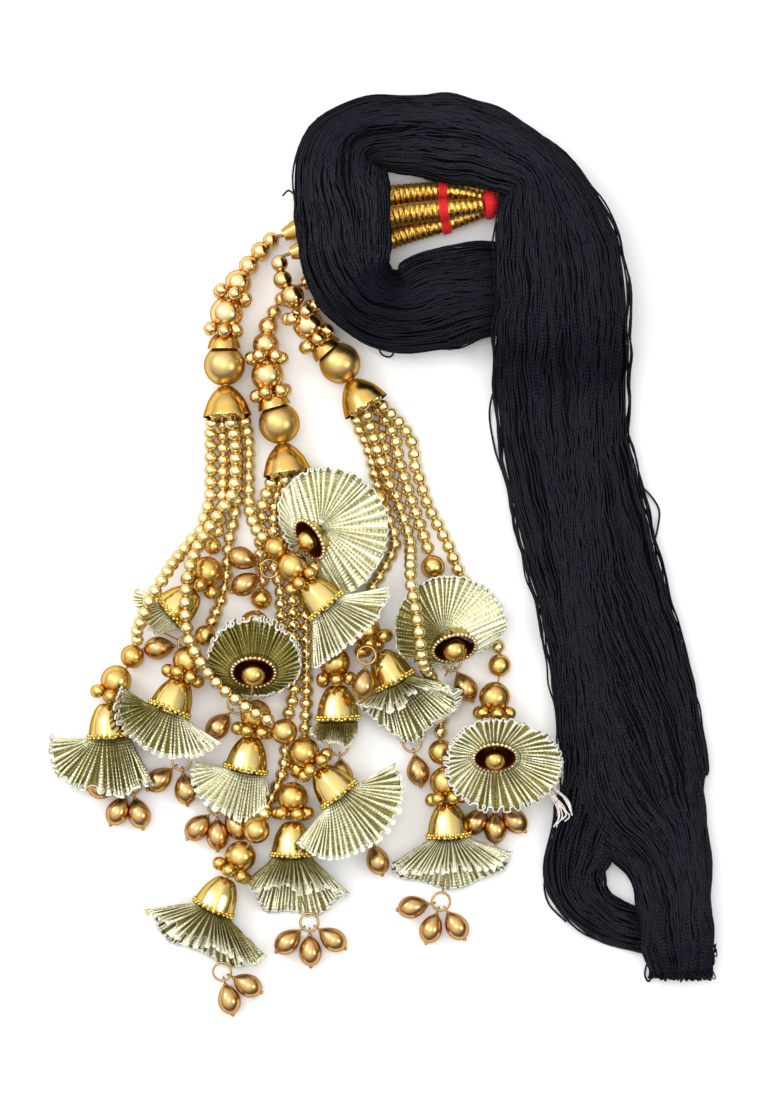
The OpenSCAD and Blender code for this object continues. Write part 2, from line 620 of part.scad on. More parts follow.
module skirt(n) {
    points = [for (i = [0 : 2 * pleats]) each skirt_ring(n, i)];
    color(silver_green)
        polyhedron(points, skin_faces(2 * pleats + 1, 2 * len(skirt_rows)), convexity = 10);
}

translate(-middle) {
    thread_hank();
    hank_end_loop();
    red_knob();
    red_tie();
    cord_caps();
    for (n = [1 : 3]) {
        wrapped_cord(n);
        string_beads(n);
        string_thread(n);
        matte_bead(n);
        bell(n);
        bud_beads(n);
        bud_caps(n);
        drops(n);
    }
    for (n = [1 : 15]) {
        strand(n);
        skirt(n);
    }
}
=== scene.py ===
"""A paranda lying on a table: a hank of black thread folded round itself, three wrapped gold cords,
and from each cord a string of beads, a bell, and strands that end in a bud, a skirt and drops."""

import bpy
import numpy as np
from numpy import cos, sin
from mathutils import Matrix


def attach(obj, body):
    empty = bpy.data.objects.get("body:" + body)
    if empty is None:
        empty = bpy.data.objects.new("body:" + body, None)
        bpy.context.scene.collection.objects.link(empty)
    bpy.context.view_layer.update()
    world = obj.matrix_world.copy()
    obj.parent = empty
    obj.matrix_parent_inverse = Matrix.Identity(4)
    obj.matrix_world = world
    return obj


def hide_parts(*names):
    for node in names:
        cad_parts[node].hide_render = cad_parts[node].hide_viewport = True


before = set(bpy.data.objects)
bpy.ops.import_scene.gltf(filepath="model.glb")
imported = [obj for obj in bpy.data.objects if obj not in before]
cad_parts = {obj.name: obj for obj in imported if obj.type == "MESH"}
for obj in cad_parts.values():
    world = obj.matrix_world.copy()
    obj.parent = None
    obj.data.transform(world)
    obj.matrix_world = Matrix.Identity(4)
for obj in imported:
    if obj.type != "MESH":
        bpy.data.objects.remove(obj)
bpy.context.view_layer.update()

MM = 0.001
TURN = 2 * np.pi
UP = np.array([0.0, 0.0, 1.0])
LEVEL = np.array([1.0, 1.0, 0.0])
rng = np.random.default_rng(7)

# Everything below is in millimetres in the plan's own frame, whose middle goes to the origin
MIDDLE = np.array([-1.61, -0.34, 0.0])

# Sizes
STRAND_BEAD = 4.2
STRING_GROWTH = 1.14
RING_BEAD = 4.5
RING_RADIUS = 5.1
RING_SEAT = 5.46
BUD_BEAD = 10.2
STOPPER = 7.0
WIDE_STOPPER = 8.2
GRAIN = 1.3
MATTE_BEAD = 13.6
BELL_WIDTH = 16.0
BELL_LENGTH = 10.0
CAP_WIDTH = 14.2
CAP_LENGTH = 11.0
CAP_TOP = 4.8
SHEET = 0.6
THREAD = 0.9
DROP_WIDTH = 7.5
DROP_LENGTH = 10.5
JUMP_RADIUS = 3.0
WIRE = 0.8
EYE_RADIUS = 1.05
EYE_WIRE = 0.6
RIBBON = 0.28
PLEATS = 52
PLEAT_DEPTH = 1.9
GATHER_DEPTH = 0.8
GATHER_RADIUS = 6.1
SELVEDGE = 0.3
HANK_THREAD = 0.82
HANK_SQUARE = 2.6
HANK_RINGS = 250
HANK_THREADS = 95
LOOP_RINGS = 66
LOOP_THREADS = 84
CORD_KNOB = 5.2
CORD_CAP = 7.4
CORD_PITCH = 1.9
CORD_SIDES = 28
KNOB = np.array([34.4, 116.2, 6.3])
BEAD_REST = 2.1

# Buds with a wide stopper, the materials of the caps and of the hank, and the slots of the
# grains round a cap's rim: a zigzag of gold ones, or one row of pale ones
WIDE_BUDS = (4, 10)
CAP_METALS = ["bud_cap_gold", "cap_inside_painted_shade", "trim_gold", "pale_grain"]
TRIM_SLOT = 2
PALE_SLOT = 3
BUNDLE = ["black_thread", "hank_core"]

# In metres: half the floor's side, the camera's height, the height of what it sees, and the
# soft boxes' places, power in watts and width
FLOOR = 3.0
CAMERA_HEIGHT = 1.4
FRAME_HEIGHT = 0.3693
SOFT_BOXES = [((-0.14, 0.2, 1.7), 5, 0.7), ((-0.7, 0.45, 0.75), 3, 0.4), ((0.7, -0.1, 0.8), 2, 0.35)]

# Hank stations: middle x, y, z, width across, thickness
HANK = [
    [37.4, 116.3, 6, 10.4, 9], [47.4, 115.8, 5.5, 14, 9.5], [57, 113.5, 5.3, 17, 10],
    [64, 106.5, 5.3, 20, 10], [65.5, 98, 5.3, 22, 10], [60.5, 91, 5.3, 25, 10],
    [50, 88, 5.3, 28, 10], [35, 88, 6, 31, 10.5], [18, 84.5, 7, 34, 11], [6, 80.5, 9, 28, 12],
    [-4, 82.5, 14, 26, 12], [-11, 89.5, 18.6, 27, 12], [-13.5, 100, 20, 30.5, 11.5],
    [-14, 113, 20, 31.5, 11.5], [-15, 124.5, 18.5, 31, 11.5], [-12.5, 133.5, 14, 29.5, 12],
    [-5, 138.5, 9, 25, 12], [8, 139, 7, 26.5, 12], [22, 137.5, 8, 29.5, 12],
    [35.9, 133.1, 12.5, 26.6, 11], [48.6, 125.6, 16, 24, 10], [53.3, 113.4, 16.4, 35.6, 9.5],
    [56.2, 100, 16.2, 43.2, 9], [58, 85, 15.5, 45, 9], [58, 70, 12.6, 46.5, 9],
    [58.2, 54, 6, 46, 8.5], [59.8, 36, 4.4, 44.5, 8.5], [63.5, 18, 4.4, 45, 8.5],
    [67.7, 1, 4.4, 45, 8.5], [71.8, -15.5, 4.4, 44.5, 8.5], [76, -32, 4.3, 46, 8.3],
    [79.5, -48.5, 4.2, 47.5, 8], [82.2, -65, 4.1, 49, 7.8], [84.2, -80, 4.1, 49, 7.8],
    [90.5, -93, 4.2, 36, 8], [94.5, -105, 4.8, 28, 8], [96, -118, 7, 24.5, 7],
    [97.3, -130, 6, 23, 6.5], [98.2, -140, 4, 19, 6]
]

# The threads that run down inside the hank's left edge, leave it and turn under its end
END_LOOP = [
    [72.5, -62, 4.1, 12, 6.6], [70.2, -76, 4.0, 22, 7.4], [68.2, -87, 3.9, 24.5, 7.4],
    [64.8, -97.8, 3.6, 22.6, 7], [62.9, -105.3, 3.4, 20.6, 6.7], [64.8, -113, 3.2, 18.4, 6.3],
    [69.9, -118.8, 2.8, 16.2, 5.4], [76.2, -122.6, 2.2, 15.2, 4.2], [84, -125.2, 1.6, 14, 3],
    [94, -127.5, 1.3, 12, 2.4]
]

# Share of the threads that lie on the bundle's upper side
TOP_SHARE = 0.72

# Locks that the threads lie in: turns round the bundle, length of a wave, height and phase
LOCKS = [
    (4, 71, 0.42, 0.3), (7, -48, 0.34, 1.9), (11, 35, 0.24, 4.1), (16, -90, 0.16, 2.6), (2, 38, 0.3, 5.2)
]

# Single threads that stand out of the bundle: x, y, z
STRAY_THREADS = [
    [[-3, 70, 5.5], [-1.5, 66.6, 2.6], [1, 65.6, 2], [2.5, 67, 2.8], [2, 70.5, 5.5]],
    [[84, 23.5, 3], [88.5, 19, 1], [91, 14.5, 0.6], [90.5, 9, 1.4], [89, 3, 3]],
    [[-34, 118, 17], [-32, 120, 13], [-29, 117, 19]],
    [[37.5, 60, 8], [34.5, 48, 1], [36, 36, 0.6], [38.5, 28, 1.6]],
    [[53.4, -106, 2], [52.7, -111, 0.8], [54.5, -117, 0.6], [60, -122.5, 1.4]],
    [[86.8, -136, 3], [86.2, -140, 1.2], [87.4, -142.4, 0.6], [88.6, -140.5, 1.6]]
]

# Wrapped cords from the knob to the cap, and the small ends of their caps
CORDS = np.array([
    [[32, 118.7, 4.2], [20, 120.6, 3.8], [3, 119.2, 4], [-12, 116, 4.2], [-25, 110, 4.8]],
    [[32, 115.5, 9.5], [20, 114, 10.4], [3, 112, 9], [-12, 107.4, 8.5], [-23, 102, 8.6]],
    [[33, 114.2, 4.3], [20, 110, 3.8], [3, 105.3, 4], [-10, 99, 4.2], [-20, 93.5, 4.8]]
])
CORD_TIPS = np.array([[-34, 105.8, 4.8], [-31.6, 99.6, 8.6], [-27.5, 89.5, 4.8]])

# Strings, one row a bead: x, y, z, diameter. A diameter of 0 is a ring of small beads
STRINGS = [
    [[-38.3, 104.3, 3.2, 4.7], [-41.8, 100.6, 3.6, 5.6], [-45.6, 95.8, 4.6, 5.8], [-49, 90, 6.4, 7.7],
     [-50.8, 85.6, 7.4, 0], [-52.9, 79.8, 7.4, 9.6], [-53.8, 74.3, 7.4, 0]],
    [[-35.2, 96.2, 8.8, 4.8], [-34.2, 90.8, 9.4, 5.4], [-31, 85.3, 9.8, 7], [-28, 79.9, 9.1, 0],
     [-25.8, 76, 8.6, 8.8], [-23.1, 71.4, 7.8, 0]],
    [[-31.5, 87.6, 2.2, 4], [-34.8, 84.8, 2.2, 4], [-37.3, 80.4, 2.6, 4], [-39.2, 75.6, 3.6, 5.6],
     [-39.9, 69.4, 5.6, 7.6], [-39.7, 65, 7.3, 0], [-39.3, 59.2, 7.3, 9.4], [-38.4, 53.6, 7.3, 0]]
]

# Middle of each satin bead and of the mouth of the bell below it
TASSEL_HEADS = np.array([
    [[-53.6, 62.6, 6.9], [-52.6, 45.7, 8.2]],
    [[-15.3, 63.3, 6.9], [-6.6, 48.8, 8.2]],
    [[-35.4, 43.3, 6.9], [-32.7, 26.7, 8.2]]
])

# Buds: bead before last x, y, z and diameter, last bead x, y, z, middle of the cap's rim
# x, y, z, the cap's heading and rise in degrees, and the tassel that it hangs from
BUDS = np.array([
    [-84.3, -34, 4.2, 7.8, -89.5, -42, 7.3, -91.5, -60.5, 7.7, -85, 0, 1],
    [-60, -27, 8, 6.8, -65.5, -35.4, 9.3, -71.7, -51.7, 11.4, -112, 5, 1],
    [-57.6, 2.6, 3.4, 5.6, -59.3, -5.9, 7.2, -71.5, -19.5, 7.7, -140, 0, 1],
    [-41.5, -14.8, 3.7, 7, -43.6, -23.8, 7.2, -43.7, -39.3, 15.4, -90, 44, 3],
    [-41, -44.6, 3.9, 7, -43.2, -53.4, 7.2, -46.6, -71.6, 7.7, -101, 0, 3],
    [-2.3, 18.3, 7.6, 6.8, -11.2, 12.8, 7.4, -25.5, 4.6, 13.1, -149, 30, 2],
    [-36.3, 2, 14.9, 7.8, -30.8, -4.3, 16.7, -19.5, -17.3, 16.5, -50, 0, 1],
    [-17.6, -26.9, 3.6, 6.4, -17, -36, 7.2, -15.9, -54.6, 7.7, -88, 0, 3],
    [-7, -15.5, 3.6, 6.4, -7, -25.2, 6.2, 3, -42.3, 7.8, -62, 0, 2],
    [15.6, -4.3, 4.1, 7.9, 18, -14, 7.2, 22.6, -31.3, 14.6, -77, 38, 2],
    [37.7, -37, 3.9, 7.4, 36, -47.5, 7.2, 36, -67.5, 15, -90, 42, 2],
    [18.2, -65.8, 4.3, 8.2, 19.6, -75.6, 7.3, 20.8, -93.6, 7.7, -87, 0, 2],
    [-33.5, -58.6, 13.4, 8.6, -27, -65.6, 12.6, -15.3, -79.7, 12.6, -52, 0, 1],
    [-29, -71.6, 3.4, 6.4, -31, -80.7, 7.2, -31, -99.8, 7.7, -90, 0, 3],
    [-42.9, -91.4, 10.4, 8.8, -48.3, -100.3, 7.2, -57.3, -117.6, 7.7, -115, 0, 3]
])

# Skirts: hem's reach to the left and right of the heading, how far forward of the rim it is
# at the left, right, top and bottom, and its height at the same four places
SKIRTS = np.array([
    [11, 20.5, 16, 0, 18.5, 10.5, 8, 7.5, 10.6, 1.8],
    [18, 17.5, 4, -2, 14, 8.5, 9, 18.3, 15.4, 12.7],
    [3, 13, 4, 4, 8.5, 6, 4, 4, 7, 1.8],
    [15.5, 15.5, -3, -3, -18, 8, 13, 13, 17, 9.6],
    [8.5, 17, 5, 2, 16, 11.2, 7, 4, 7.5, 2],
    [22, 20, -2, -7, -27, 6.6, 6.8, 16, 17, 6.6],
    [18.5, 16, 8.5, 12.5, 14, 12, 17, 16, 19, 15.4],
    [5, 7.5, 4, 4, 6.5, 6.5, 4, 4, 9, 1.8],
    [15.8, 13.5, 14, -1, 6, 20, 13.4, 6, 11, 6.6],
    [18.5, 18.5, -6, -6, -24, 4, 12, 8, 12.4, 6.6],
    [22, 16, 2, 2, -13, 17, 13, 15.8, 17.6, 14.6],
    [19, 19, 8, 8, 11, 17, 4, 4, 7, 1.8],
    [20, 20, 4, 4, 19, 12, 12, 17, 15, 11.5],
    [16.5, 13, 13, 10, 10, 20, 4, 4, 8, 1.8],
    [20, 19.5, 9, 9, 11.5, 16, 4, 4, 7.4, 1.8]
])

# Painted sheen and shade of each skirt's ribbon: how much paler than an even mix of valley and
# ridge its tone is drawn, as light and shade fall on it, on its outside at the left and right of
# its heading, then on its inside at the same places. Last, its pleats' depth
PAINTED_SHEEN_AND_SHADE = [
    [-0.42, -0.24, -0.34, -0.24, 1.35], [0.04, -0.64, -0.1, -0.18, 1.3], [0.08, 0.14, 0, 0, 0.9],
    [-0.7, -0.7, -0.75, -0.9, 1.6], [0.1, 0.3, 0, 0.1, 1.2], [0.2, 0.2, 0.28, 0.2, 0.8],
    [0.14, -0.1, 0, 0, 1], [-0.7, -0.6, -0.6, -0.6, 1.6], [-0.38, -0.44, -0.12, -0.04, 1.45],
    [0.2, 0.2, 0.54, -0.62, 0.85], [0, 0, -0.12, 0.02, 1.2], [0.08, -0.12, 0.12, 0.12, 1.35],
    [-0.14, 0.2, 0.1, 0.1, 1.1], [-0.36, -0.48, 0.06, 0.04, 1.5], [-0.5, -0.28, -0.1, -0.1, 1.5]
]

# Two skirts whose upper side is drawn together at a point above their cap: x, y, z
PINCHES = {6: [-21.3, 9.0, 16.4], 10: [19.2, -26.4, 16.6]}

# Drops: jump ring x, y, z, the headings of its drops, and a point that its thread turns at
DROPS = [
    [-84.6, -77, 3.75, [184, -118, -75], []],
    [-68, -68.8, 3.75, [-140, -82], [-75.8, -61.8, 8.5]],
    [-66, -30, 3.75, [187], [-77.1, -24.6, 4.2]],
    [-49.6, -50, 3.75, [-130], [-44.8, -48, 13]],
    [-56.2, -83.8, 3.75, [-132, -89, -46], []],
    [-38.5, -4.8, 8.2, [160, -148], [-34, -1.4, 9.4]],
    [-6.4, -33.4, 15.6, [-96], []],
    [-15.6, -63.9, 3.75, [-85], []],
    [8.6, -62.7, 3.75, [-78], [11.2, -57.8, 4.2]],
    [21.8, -35.8, 3.75, [-62], [19.6, -40.4, 9.5]],
    [36, -81.6, 3.75, [-130, -88, -46], []],
    [18.3, -115.5, 3.75, [-169, -110, -58], []],
    [-5.8, -92.6, 3.75, [-72], []],
    [-25.5, -122.4, 3.75, [-138, -88, -36], []],
    [-54.5, -138.8, 3.75, [-76, -28], []]
]

# Strands, from inside the bell to the bud: x, y, z. Without z a bead rests on the floor
STRANDS = [
    [[-56.3, 48.7, 9.3], [-57.9, 43, 6.3], [-58.4, 36, 2.3], [-58.3, 28], [-58.7, 18], [-60.2, 13.3],
     [-61.8, 7.5], [-64.8, 4.4], [-67.5, 0.8, 4], [-70.5, -3, 8.5], [-73, -7.2, 13],
     [-75.5, -11.2, 15], [-77.8, -15, 15], [-80.5, -21.3, 13], [-82.5, -26, 9]],
    [[-50.5, 49, 5], [-50.1, 43, 2.8], [-49.9, 36], [-49.9, 18], [-50.8, 11], [-52, 5], [-52.7, -1],
     [-53.2, -8], [-54.5, -14], [-57, -20.5, 2.8]],
    [[-54.9, 48.7, 5.1], [-54.4, 43, 2.9], [-54.1, 36], [-54.1, 28], [-54.3, 18], [-55.4, 11],
     [-56.3, 7, 2.5]],
    [[-36.6, 29.1, 9.3], [-38, 24, 7], [-40.7, 17, 4.1], [-41.4, 12, 2.4], [-41.6, 8], [-41.9, 0],
     [-41.2, -7, 2.4]],
    [[-35.2, 29.3, 5.5], [-35.5, 23, 3.2], [-36.8, 17], [-37.3, 10], [-37.7, 0], [-37, -5],
     [-35.2, -11], [-34.9, -20], [-34.9, -36], [-37.8, -40.2, 2.8]],
    [[-8.15, 51.4, 12.1], [-6.5, 47, 11], [-4.5, 40, 8], [-2.4, 33, 6.4], [-0.2, 27, 6.4],
     [1.4, 22.5, 7]],
    [[-49.1, 49, 9.35], [-46.6, 43, 6.3], [-45.7, 36, 2.3], [-45.7, 28], [-45.7, 19, 2.3],
     [-45.2, 14.5, 5], [-43.8, 10, 8], [-41.5, 6.2, 11]],
    [[-29.5, 30.3, 9.4], [-27, 24, 6.5], [-24.9, 17, 2.6], [-24.6, 10], [-24.9, 0], [-24, -5],
     [-22.2, -11], [-19.5, -18.5, 2.4]],
    [[-11.3, 49.5, 9.4], [-10, 46, 7.6], [-9, 42, 4.9], [-7, 38, 2.6], [-5.2, 33], [-4.3, 29],
     [-3.2, 25], [-0.9, 17], [1.6, 9.2], [2.9, 5.2], [2.4, 1.2], [0.4, -2.8], [-2, -7],
     [-4.5, -11, 2.6]],
    [[-6.18, 52.6, 5.05], [-1.5, 46.5, 2.6], [2.8, 39], [4, 33], [4.9, 29], [7.4, 21], [8.7, 17],
     [11.5, 9], [13.1, 4.3, 2.3]],
    [[-4.98, 53.3, 9.4], [-1, 49, 7.8], [4.5, 43.7, 3.9], [8.2, 38.5], [9.4, 34], [9.9, 29],
     [11.6, 24], [13.2, 18.5], [15.6, 13], [18.2, 8], [21.5, 1.3], [23.2, -3.3], [26, -9.3],
     [33.5, -23.5], [36.7, -29.5, 2.4]],
    [[-10.1, 50.2, 5.05], [-5.5, 44, 2.6], [-1.4, 38], [-0.2, 33], [0.4, 29], [1.4, 25], [3.9, 17],
     [6.6, 9], [7.8, 5.2, 2.3], [8.2, 0, 7], [8.2, -4.5, 13.5], [8.4, -10.3, 17], [9.8, -18, 20],
     [11, -26, 21.7], [11.5, -30.5, 21.3], [12, -34.2, 18.4], [12.7, -36.8, 14.8], [13.6, -38.6, 11.2],
     [14.4, -39.8, 8.2], [15.1, -40.9, 5.4], [15.8, -42.6, 3], [16.8, -45.4, 2.2], [18.2, -52],
     [18.4, -56, 2.4]],
    [[-52.8, 49, 12.05], [-51.2, 43, 9.4], [-49.9, 36, 6.5], [-50.3, 22, 6.4], [-53, 16.7, 6.5],
     [-57.7, 10, 6.8], [-61.9, 3, 10], [-64.4, -4, 15.4], [-65.7, -11, 16.6], [-66, -20, 16],
     [-65, -27.5, 16.4], [-62.4, -33, 17.2], [-58.6, -39, 17.4], [-53.7, -44.2, 16.4],
     [-46.7, -50, 15.4], [-40.2, -54, 14.8]],
    [[-30.9, 30.1, 5.3], [-30.3, 24, 2.8], [-29, 17], [-28.9, 10], [-29.1, 0], [-28.2, -5],
     [-26.7, -11], [-26.5, -20], [-26.5, -50], [-27.6, -66, 2.3]],
    [[-33.2, 29.7, 12.1], [-33.2, 24, 8], [-33.1, 17, 4.6], [-33.1, 10], [-33.3, 0], [-32.4, -5],
     [-30.9, -11], [-30.7, -20], [-30.7, -44], [-33, -56], [-33.8, -70], [-36.5, -78],
     [-39.4, -83.5, 2.6]]
]
STRANDS = [np.array([[*point, BEAD_REST][:3] for point in route]) for route in STRANDS]

# Frayed ends of the ribbons' white edging
FRAYS = [
    [[-109.5, -62.6, 6.8], [-111.2, -59.8, 5.4], [-110.4, -62, 3.4], [-107, -63.3, 1.4]],
    [[-103, -67.5, 4], [-104.8, -66, 2.6], [-106.5, -68.5, 1.2], [-102, -70, 0.7]],
    [[50.5, -74.5, 12], [54, -78.5, 10.5], [58, -83, 9.4], [60.3, -86.5, 9], [58.6, -88.6, 8.6]],
    [[51, -76, 11.5], [55.4, -81, 10], [57.8, -86, 9], [55.8, -90.4, 8.2]],
    [[49.5, -74, 12], [55.5, -77.5, 10.8], [60, -82.5, 9.6], [62, -87, 9.2]]
]


# Vectors and paths
def unit(v):
    """Each vector at length 1."""
    v = np.asarray(v, float)
    return v / np.maximum(np.linalg.norm(v, axis=-1, keepdims=True), 1e-9)


def mix(a, b, t):
    """a at t = 0, b at t = 1 and a straight blend between."""
    return a * (1 - t) + b * t


def together(*parts):
    """The parts, stretched to one shape, side by side on a new last axis."""
    return np.stack(np.broadcast_arrays(*parts), -1)


def turns(many):
    """Even angles round a circle."""
    return np.arange(many) * TURN / many


def about(radius, turn, height):
    """Points at a radius, an angle and a height about the Z axis."""
    return together(radius * cos(turn), radius * sin(turn), height)


def smooth_path(points, per_span):
    """Catmull-Rom curve: in each span a cubic through its two points, its slopes half the
    difference of their neighbours."""
    p = np.asarray(points, float)
    p = np.vstack([2 * p[0] - p[1], p, 2 * p[-1] - p[-2]])
    a, b, c, d = (p[i:len(p) - 3 + i, None] for i in range(4))
    t = np.linspace(0, 1, per_span, endpoint=False)[None, :, None]
    curve = b + 0.5 * t * (c - a + t * (2 * a - 5 * b + 4 * c - d + t * (3 * b - a - 3 * c + d)))
    return np.vstack([curve.reshape(-1, p.shape[1]), p[-2]])


def run_length(path):
    """Distance along each path to each of its points."""
    steps = np.diff(path[..., :3], axis=-2, prepend=path[..., :1, :3])
    return np.cumsum(np.linalg.norm(steps, axis=-1), axis=-1)


def at_distances(path, distances):
    """Points of the path at the given distances along it."""
    run = run_length(path)
    return np.column_stack([np.interp(distances, run, column) for column in path.T])


def even_path(points, spacing):
    """The smooth curve through the points, cut into steps of about the given spacing."""
    curve = smooth_path(points, 12)
    length = run_length(curve)[-1]
    return at_distances(curve, np.linspace(0, length, round(length / spacing) + 1))


def slopes(path):
    """Unit direction of each path at each of its points."""
    return unit(np.gradient(path, axis=-2))


def frames(axes):
    """For each axis two vectors square to it and to each other, then the axis, as rows."""
    axis = unit(np.atleast_2d(axes))
    steep = np.abs(axis[:, 2:3]) > 0.9
    side = unit(np.cross(axis, np.where(steep, [[1.0, 0, 0]], UP)))
    return np.stack([side, np.cross(axis, side), axis], axis=1)


def stood(local, origin, axis):
    """Points round the Z axis, turned to another axis and moved to an origin."""
    return origin + local.reshape(-1, 3) @ frames(axis)[0]


# Mesh building
def put(name, data):
    """A new object in the scene."""
    thing = bpy.data.objects.new(name, data)
    bpy.context.collection.objects.link(thing)
    return thing


def fill(elements, key, values, kind=np.int32):
    """Sets one property of all elements of a mesh."""
    elements.foreach_set(key, values.astype(kind).ravel())


def grid_faces(rows, columns, closed=False):
    """Quads between the points of a grid of rows and columns, which close round if asked."""
    here = np.arange(rows - 1)[:, None] * columns
    c = np.arange(columns if closed else columns - 1)
    k = (c + 1) % columns
    return together(here + c, here + k, here + columns + k, here + columns + c).reshape(-1, 4)


def copied(faces, many, points):
    """Face arrays repeated for many shapes of so many points each."""
    first = np.arange(many)[:, None, None] * points
    return [(first + face).reshape(-1, face.shape[1]) for face in faces]


class Pile:
    """Collects shapes as arrays of points and faces, then joins them into one piece."""

    def __init__(self):
        self.points, self.faces, self.slots, self.maps, self.tones = [], [], [], [], []
        self.count = 0

    def add(self, points, faces, slots=0, uv=None, tone=0.5):
        """Adds a shape: its points, a list of face arrays, one material slot or one for each
        array, its UV map, and its tone, which is one number or one for each point."""
        points = np.reshape(points, (-1, 3))
        self.points.append(points)
        for face, slot in zip(faces, np.broadcast_to(slots, len(faces))):
            self.faces.append(face + self.count)
            self.slots.append(np.full(len(face), slot))
        self.maps.append(np.zeros((len(points), 2)) if uv is None else np.reshape(uv, (-1, 2)))
        self.tones.append(np.broadcast_to(np.ravel(tone), len(points)))
        self.count += len(points)

    def make(self, name, slot, materials, *replaces):
        """Makes the piece, puts it on the body and hides the nodes it replaces.
        Its slot is not used.
        """
        corners = np.concatenate([face.ravel() for face in self.faces])
        sizes = np.concatenate([np.full(len(face), face.shape[1]) for face in self.faces])
        mesh = bpy.data.meshes.new(name)
        mesh.vertices.add(self.count)
        mesh.loops.add(len(corners))
        mesh.polygons.add(len(sizes))
        fill(mesh.vertices, "co", (np.concatenate(self.points) - MIDDLE) * MM, np.float32)
        fill(mesh.loops, "vertex_index", corners)
        fill(mesh.polygons, "loop_start", np.cumsum(sizes) - sizes)
        fill(mesh.polygons, "use_smooth", np.ones(len(sizes)), bool)
        fill(mesh.polygons, "material_index", np.concatenate(self.slots))
        mesh.update(calc_edges=True)
        uv = mesh.uv_layers.new(name="UVMap").data
        fill(uv, "uv", np.concatenate(self.maps)[corners], np.float32)
        tone = mesh.attributes.new("tone", "FLOAT", "POINT").data
        fill(tone, "value", np.concatenate(self.tones), np.float32)
        for material in materials:
            mesh.materials.append(MATERIALS[material])
        piece = put(name, mesh)
        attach(piece, "root")
        if replaces:
            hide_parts(*replaces)
        return piece


def tube_points(paths, radius, sides, lean=UP):
    """Circles carried along paths: each centre plus the radius times the cosine of the angle
    along the level normal of the path and the sine along the normal square to it."""
    along = slopes(paths)
    side = unit(np.cross(along, lean))
    top = np.cross(side, along)
    angle = turns(sides)[:, None]
    ring = cos(angle) * side[..., None, :] + sin(angle) * top[..., None, :]
    return paths[..., None, :] + radius * ring


def tube_faces(rings, sides):
    """Wall of a tube and its two flat ends."""
    around = np.arange(sides)
    return [grid_faces(rings, sides, True), around[::-1][None], (rings - 1) * sides + around[None]]


def add_tubes(pile, paths, radius, sides, slot=0, tone=None, lean=UP):
    """Tubes along paths of equal ring count, their UV map u round them and v in millimetres
    along them. Without a tone each has a random one, and its v starts at a random distance."""
    many, rings = paths.shape[:2]
    run = run_length(paths)
    if tone is None:
        tone = np.repeat(rng.random(many), rings * sides)
        run = run + rng.uniform(0, 9, (many, 1))
    faces = copied(tube_faces(rings, sides), many, rings * sides)
    uv = together(np.arange(sides) / sides, run[..., None])
    pile.add(tube_points(paths, radius, sides, lean), faces, slot, uv, tone)


def add_tube(pile, path, radius, sides, slot=0, tone=0.5, lean=UP):
    """One tube along a path."""
    add_tubes(pile, path[None], radius, sides, slot, tone, lean)


def ball(segments, rings):
    """Unit sphere: latitude rings between two poles on its Z axis."""
    polar = np.linspace(0, np.pi, rings + 1)[1:-1, None]
    wall = about(sin(polar), turns(segments), cos(polar))
    points = np.vstack([wall.reshape(-1, 3), UP, [0, 0, -1]])
    pole, last = len(points) - 2, (rings - 2) * segments
    a = np.arange(segments)
    b = (a + 1) % segments
    ends = [together(pole, a, b), together(pole + 1, last + b, last + a)]
    return points, [grid_faces(rings - 1, segments, True)[:, ::-1], *ends]


def add_beads(pile, centres, axes, diameters, segments, rings, slot=0):
    """Spheres at the centres, poles along the axes, each with a random tone. One that would
    sink into the floor is raised."""
    centres = np.array(centres, float, ndmin=2)
    many = len(centres)
    points, faces = ball(segments, rings)
    turned = np.einsum("pk,nkc->npc", points, frames(axes))
    size = np.broadcast_to(diameters, many) / 2
    centres[:, 2] = np.maximum(centres[:, 2], size + 0.03)
    placed = centres[:, None] + turned * size[:, None, None]
    tones = np.repeat(rng.random(many), len(points))
    pile.add(placed, copied(faces, many, len(points)), slot, None, tones)


def add_ring(pile, centre, axis, radius, wire, slot=0, segments=28, sides=8):
    """Ring of round wire: a circle carried round another."""
    across = turns(sides)
    local = about(radius + wire / 2 * cos(across), turns(segments)[:, None], wire / 2 * sin(across))
    faces = grid_faces(segments + 1, sides, True) % (segments * sides)
    pile.add(stood(local, centre, axis), [faces], slot)


def add_lathe(pile, origin, axis, outline, segments, slots=0, inner=None, flutes=0, depth=0):
    """Closed outline of radius and height turned round an axis. An inner outline, run back from
    the mouth, closes a wall whose inside has the second slot. With flutes the radius shrinks
    between ridges by the depth times a rounded wave of the angle, most at half height."""
    whole = outline if inner is None else np.vstack([outline, inner])
    radius, height = whole[:, :1], whole[:, 1:]
    turn = turns(segments)
    share = sin(np.clip(height / height.max(), 0, 1) * np.pi) ** 0.5
    radius = radius * (1 - depth * share * np.abs(sin(flutes * turn / 2)) ** 0.8)
    local = about(radius, turn, height)
    faces = grid_faces(len(whole) + 1, segments, True)[:, ::-1] % (len(whole) * segments)
    split = len(faces) if inner is None else (len(outline) - 1) * segments
    uv = together(turn / TURN, height)
    pile.add(stood(local, origin, axis), [faces[:split], faces[split:]], slots, uv)


# Shader graphs
class Value:
    """A shader socket. Arithmetic on it adds Math nodes."""

    def __init__(self, finish, socket):
        self.finish, self.socket = finish, socket

    def math(self, operation, *values):
        """A Math node of that operation on this value and others."""
        inputs = dict(enumerate((self, *values)))
        return self.finish.node("ShaderNodeMath", inputs, operation=operation)

    def __add__(self, other):
        return self.math("ADD", other)

    def __sub__(self, other):
        return self.math("SUBTRACT", other)

    def __mul__(self, other):
        return self.math("MULTIPLY", other)

    def sine(self):
        """Sine of the value in radians."""
        return self.math("SINE")

    def clamped(self):
        """The value kept from 0 to 1."""
        return self.finish.node("ShaderNodeMapRange", {"Value": self})


# The materials made here by name, as the solids have some of the same names
MATERIALS = {}


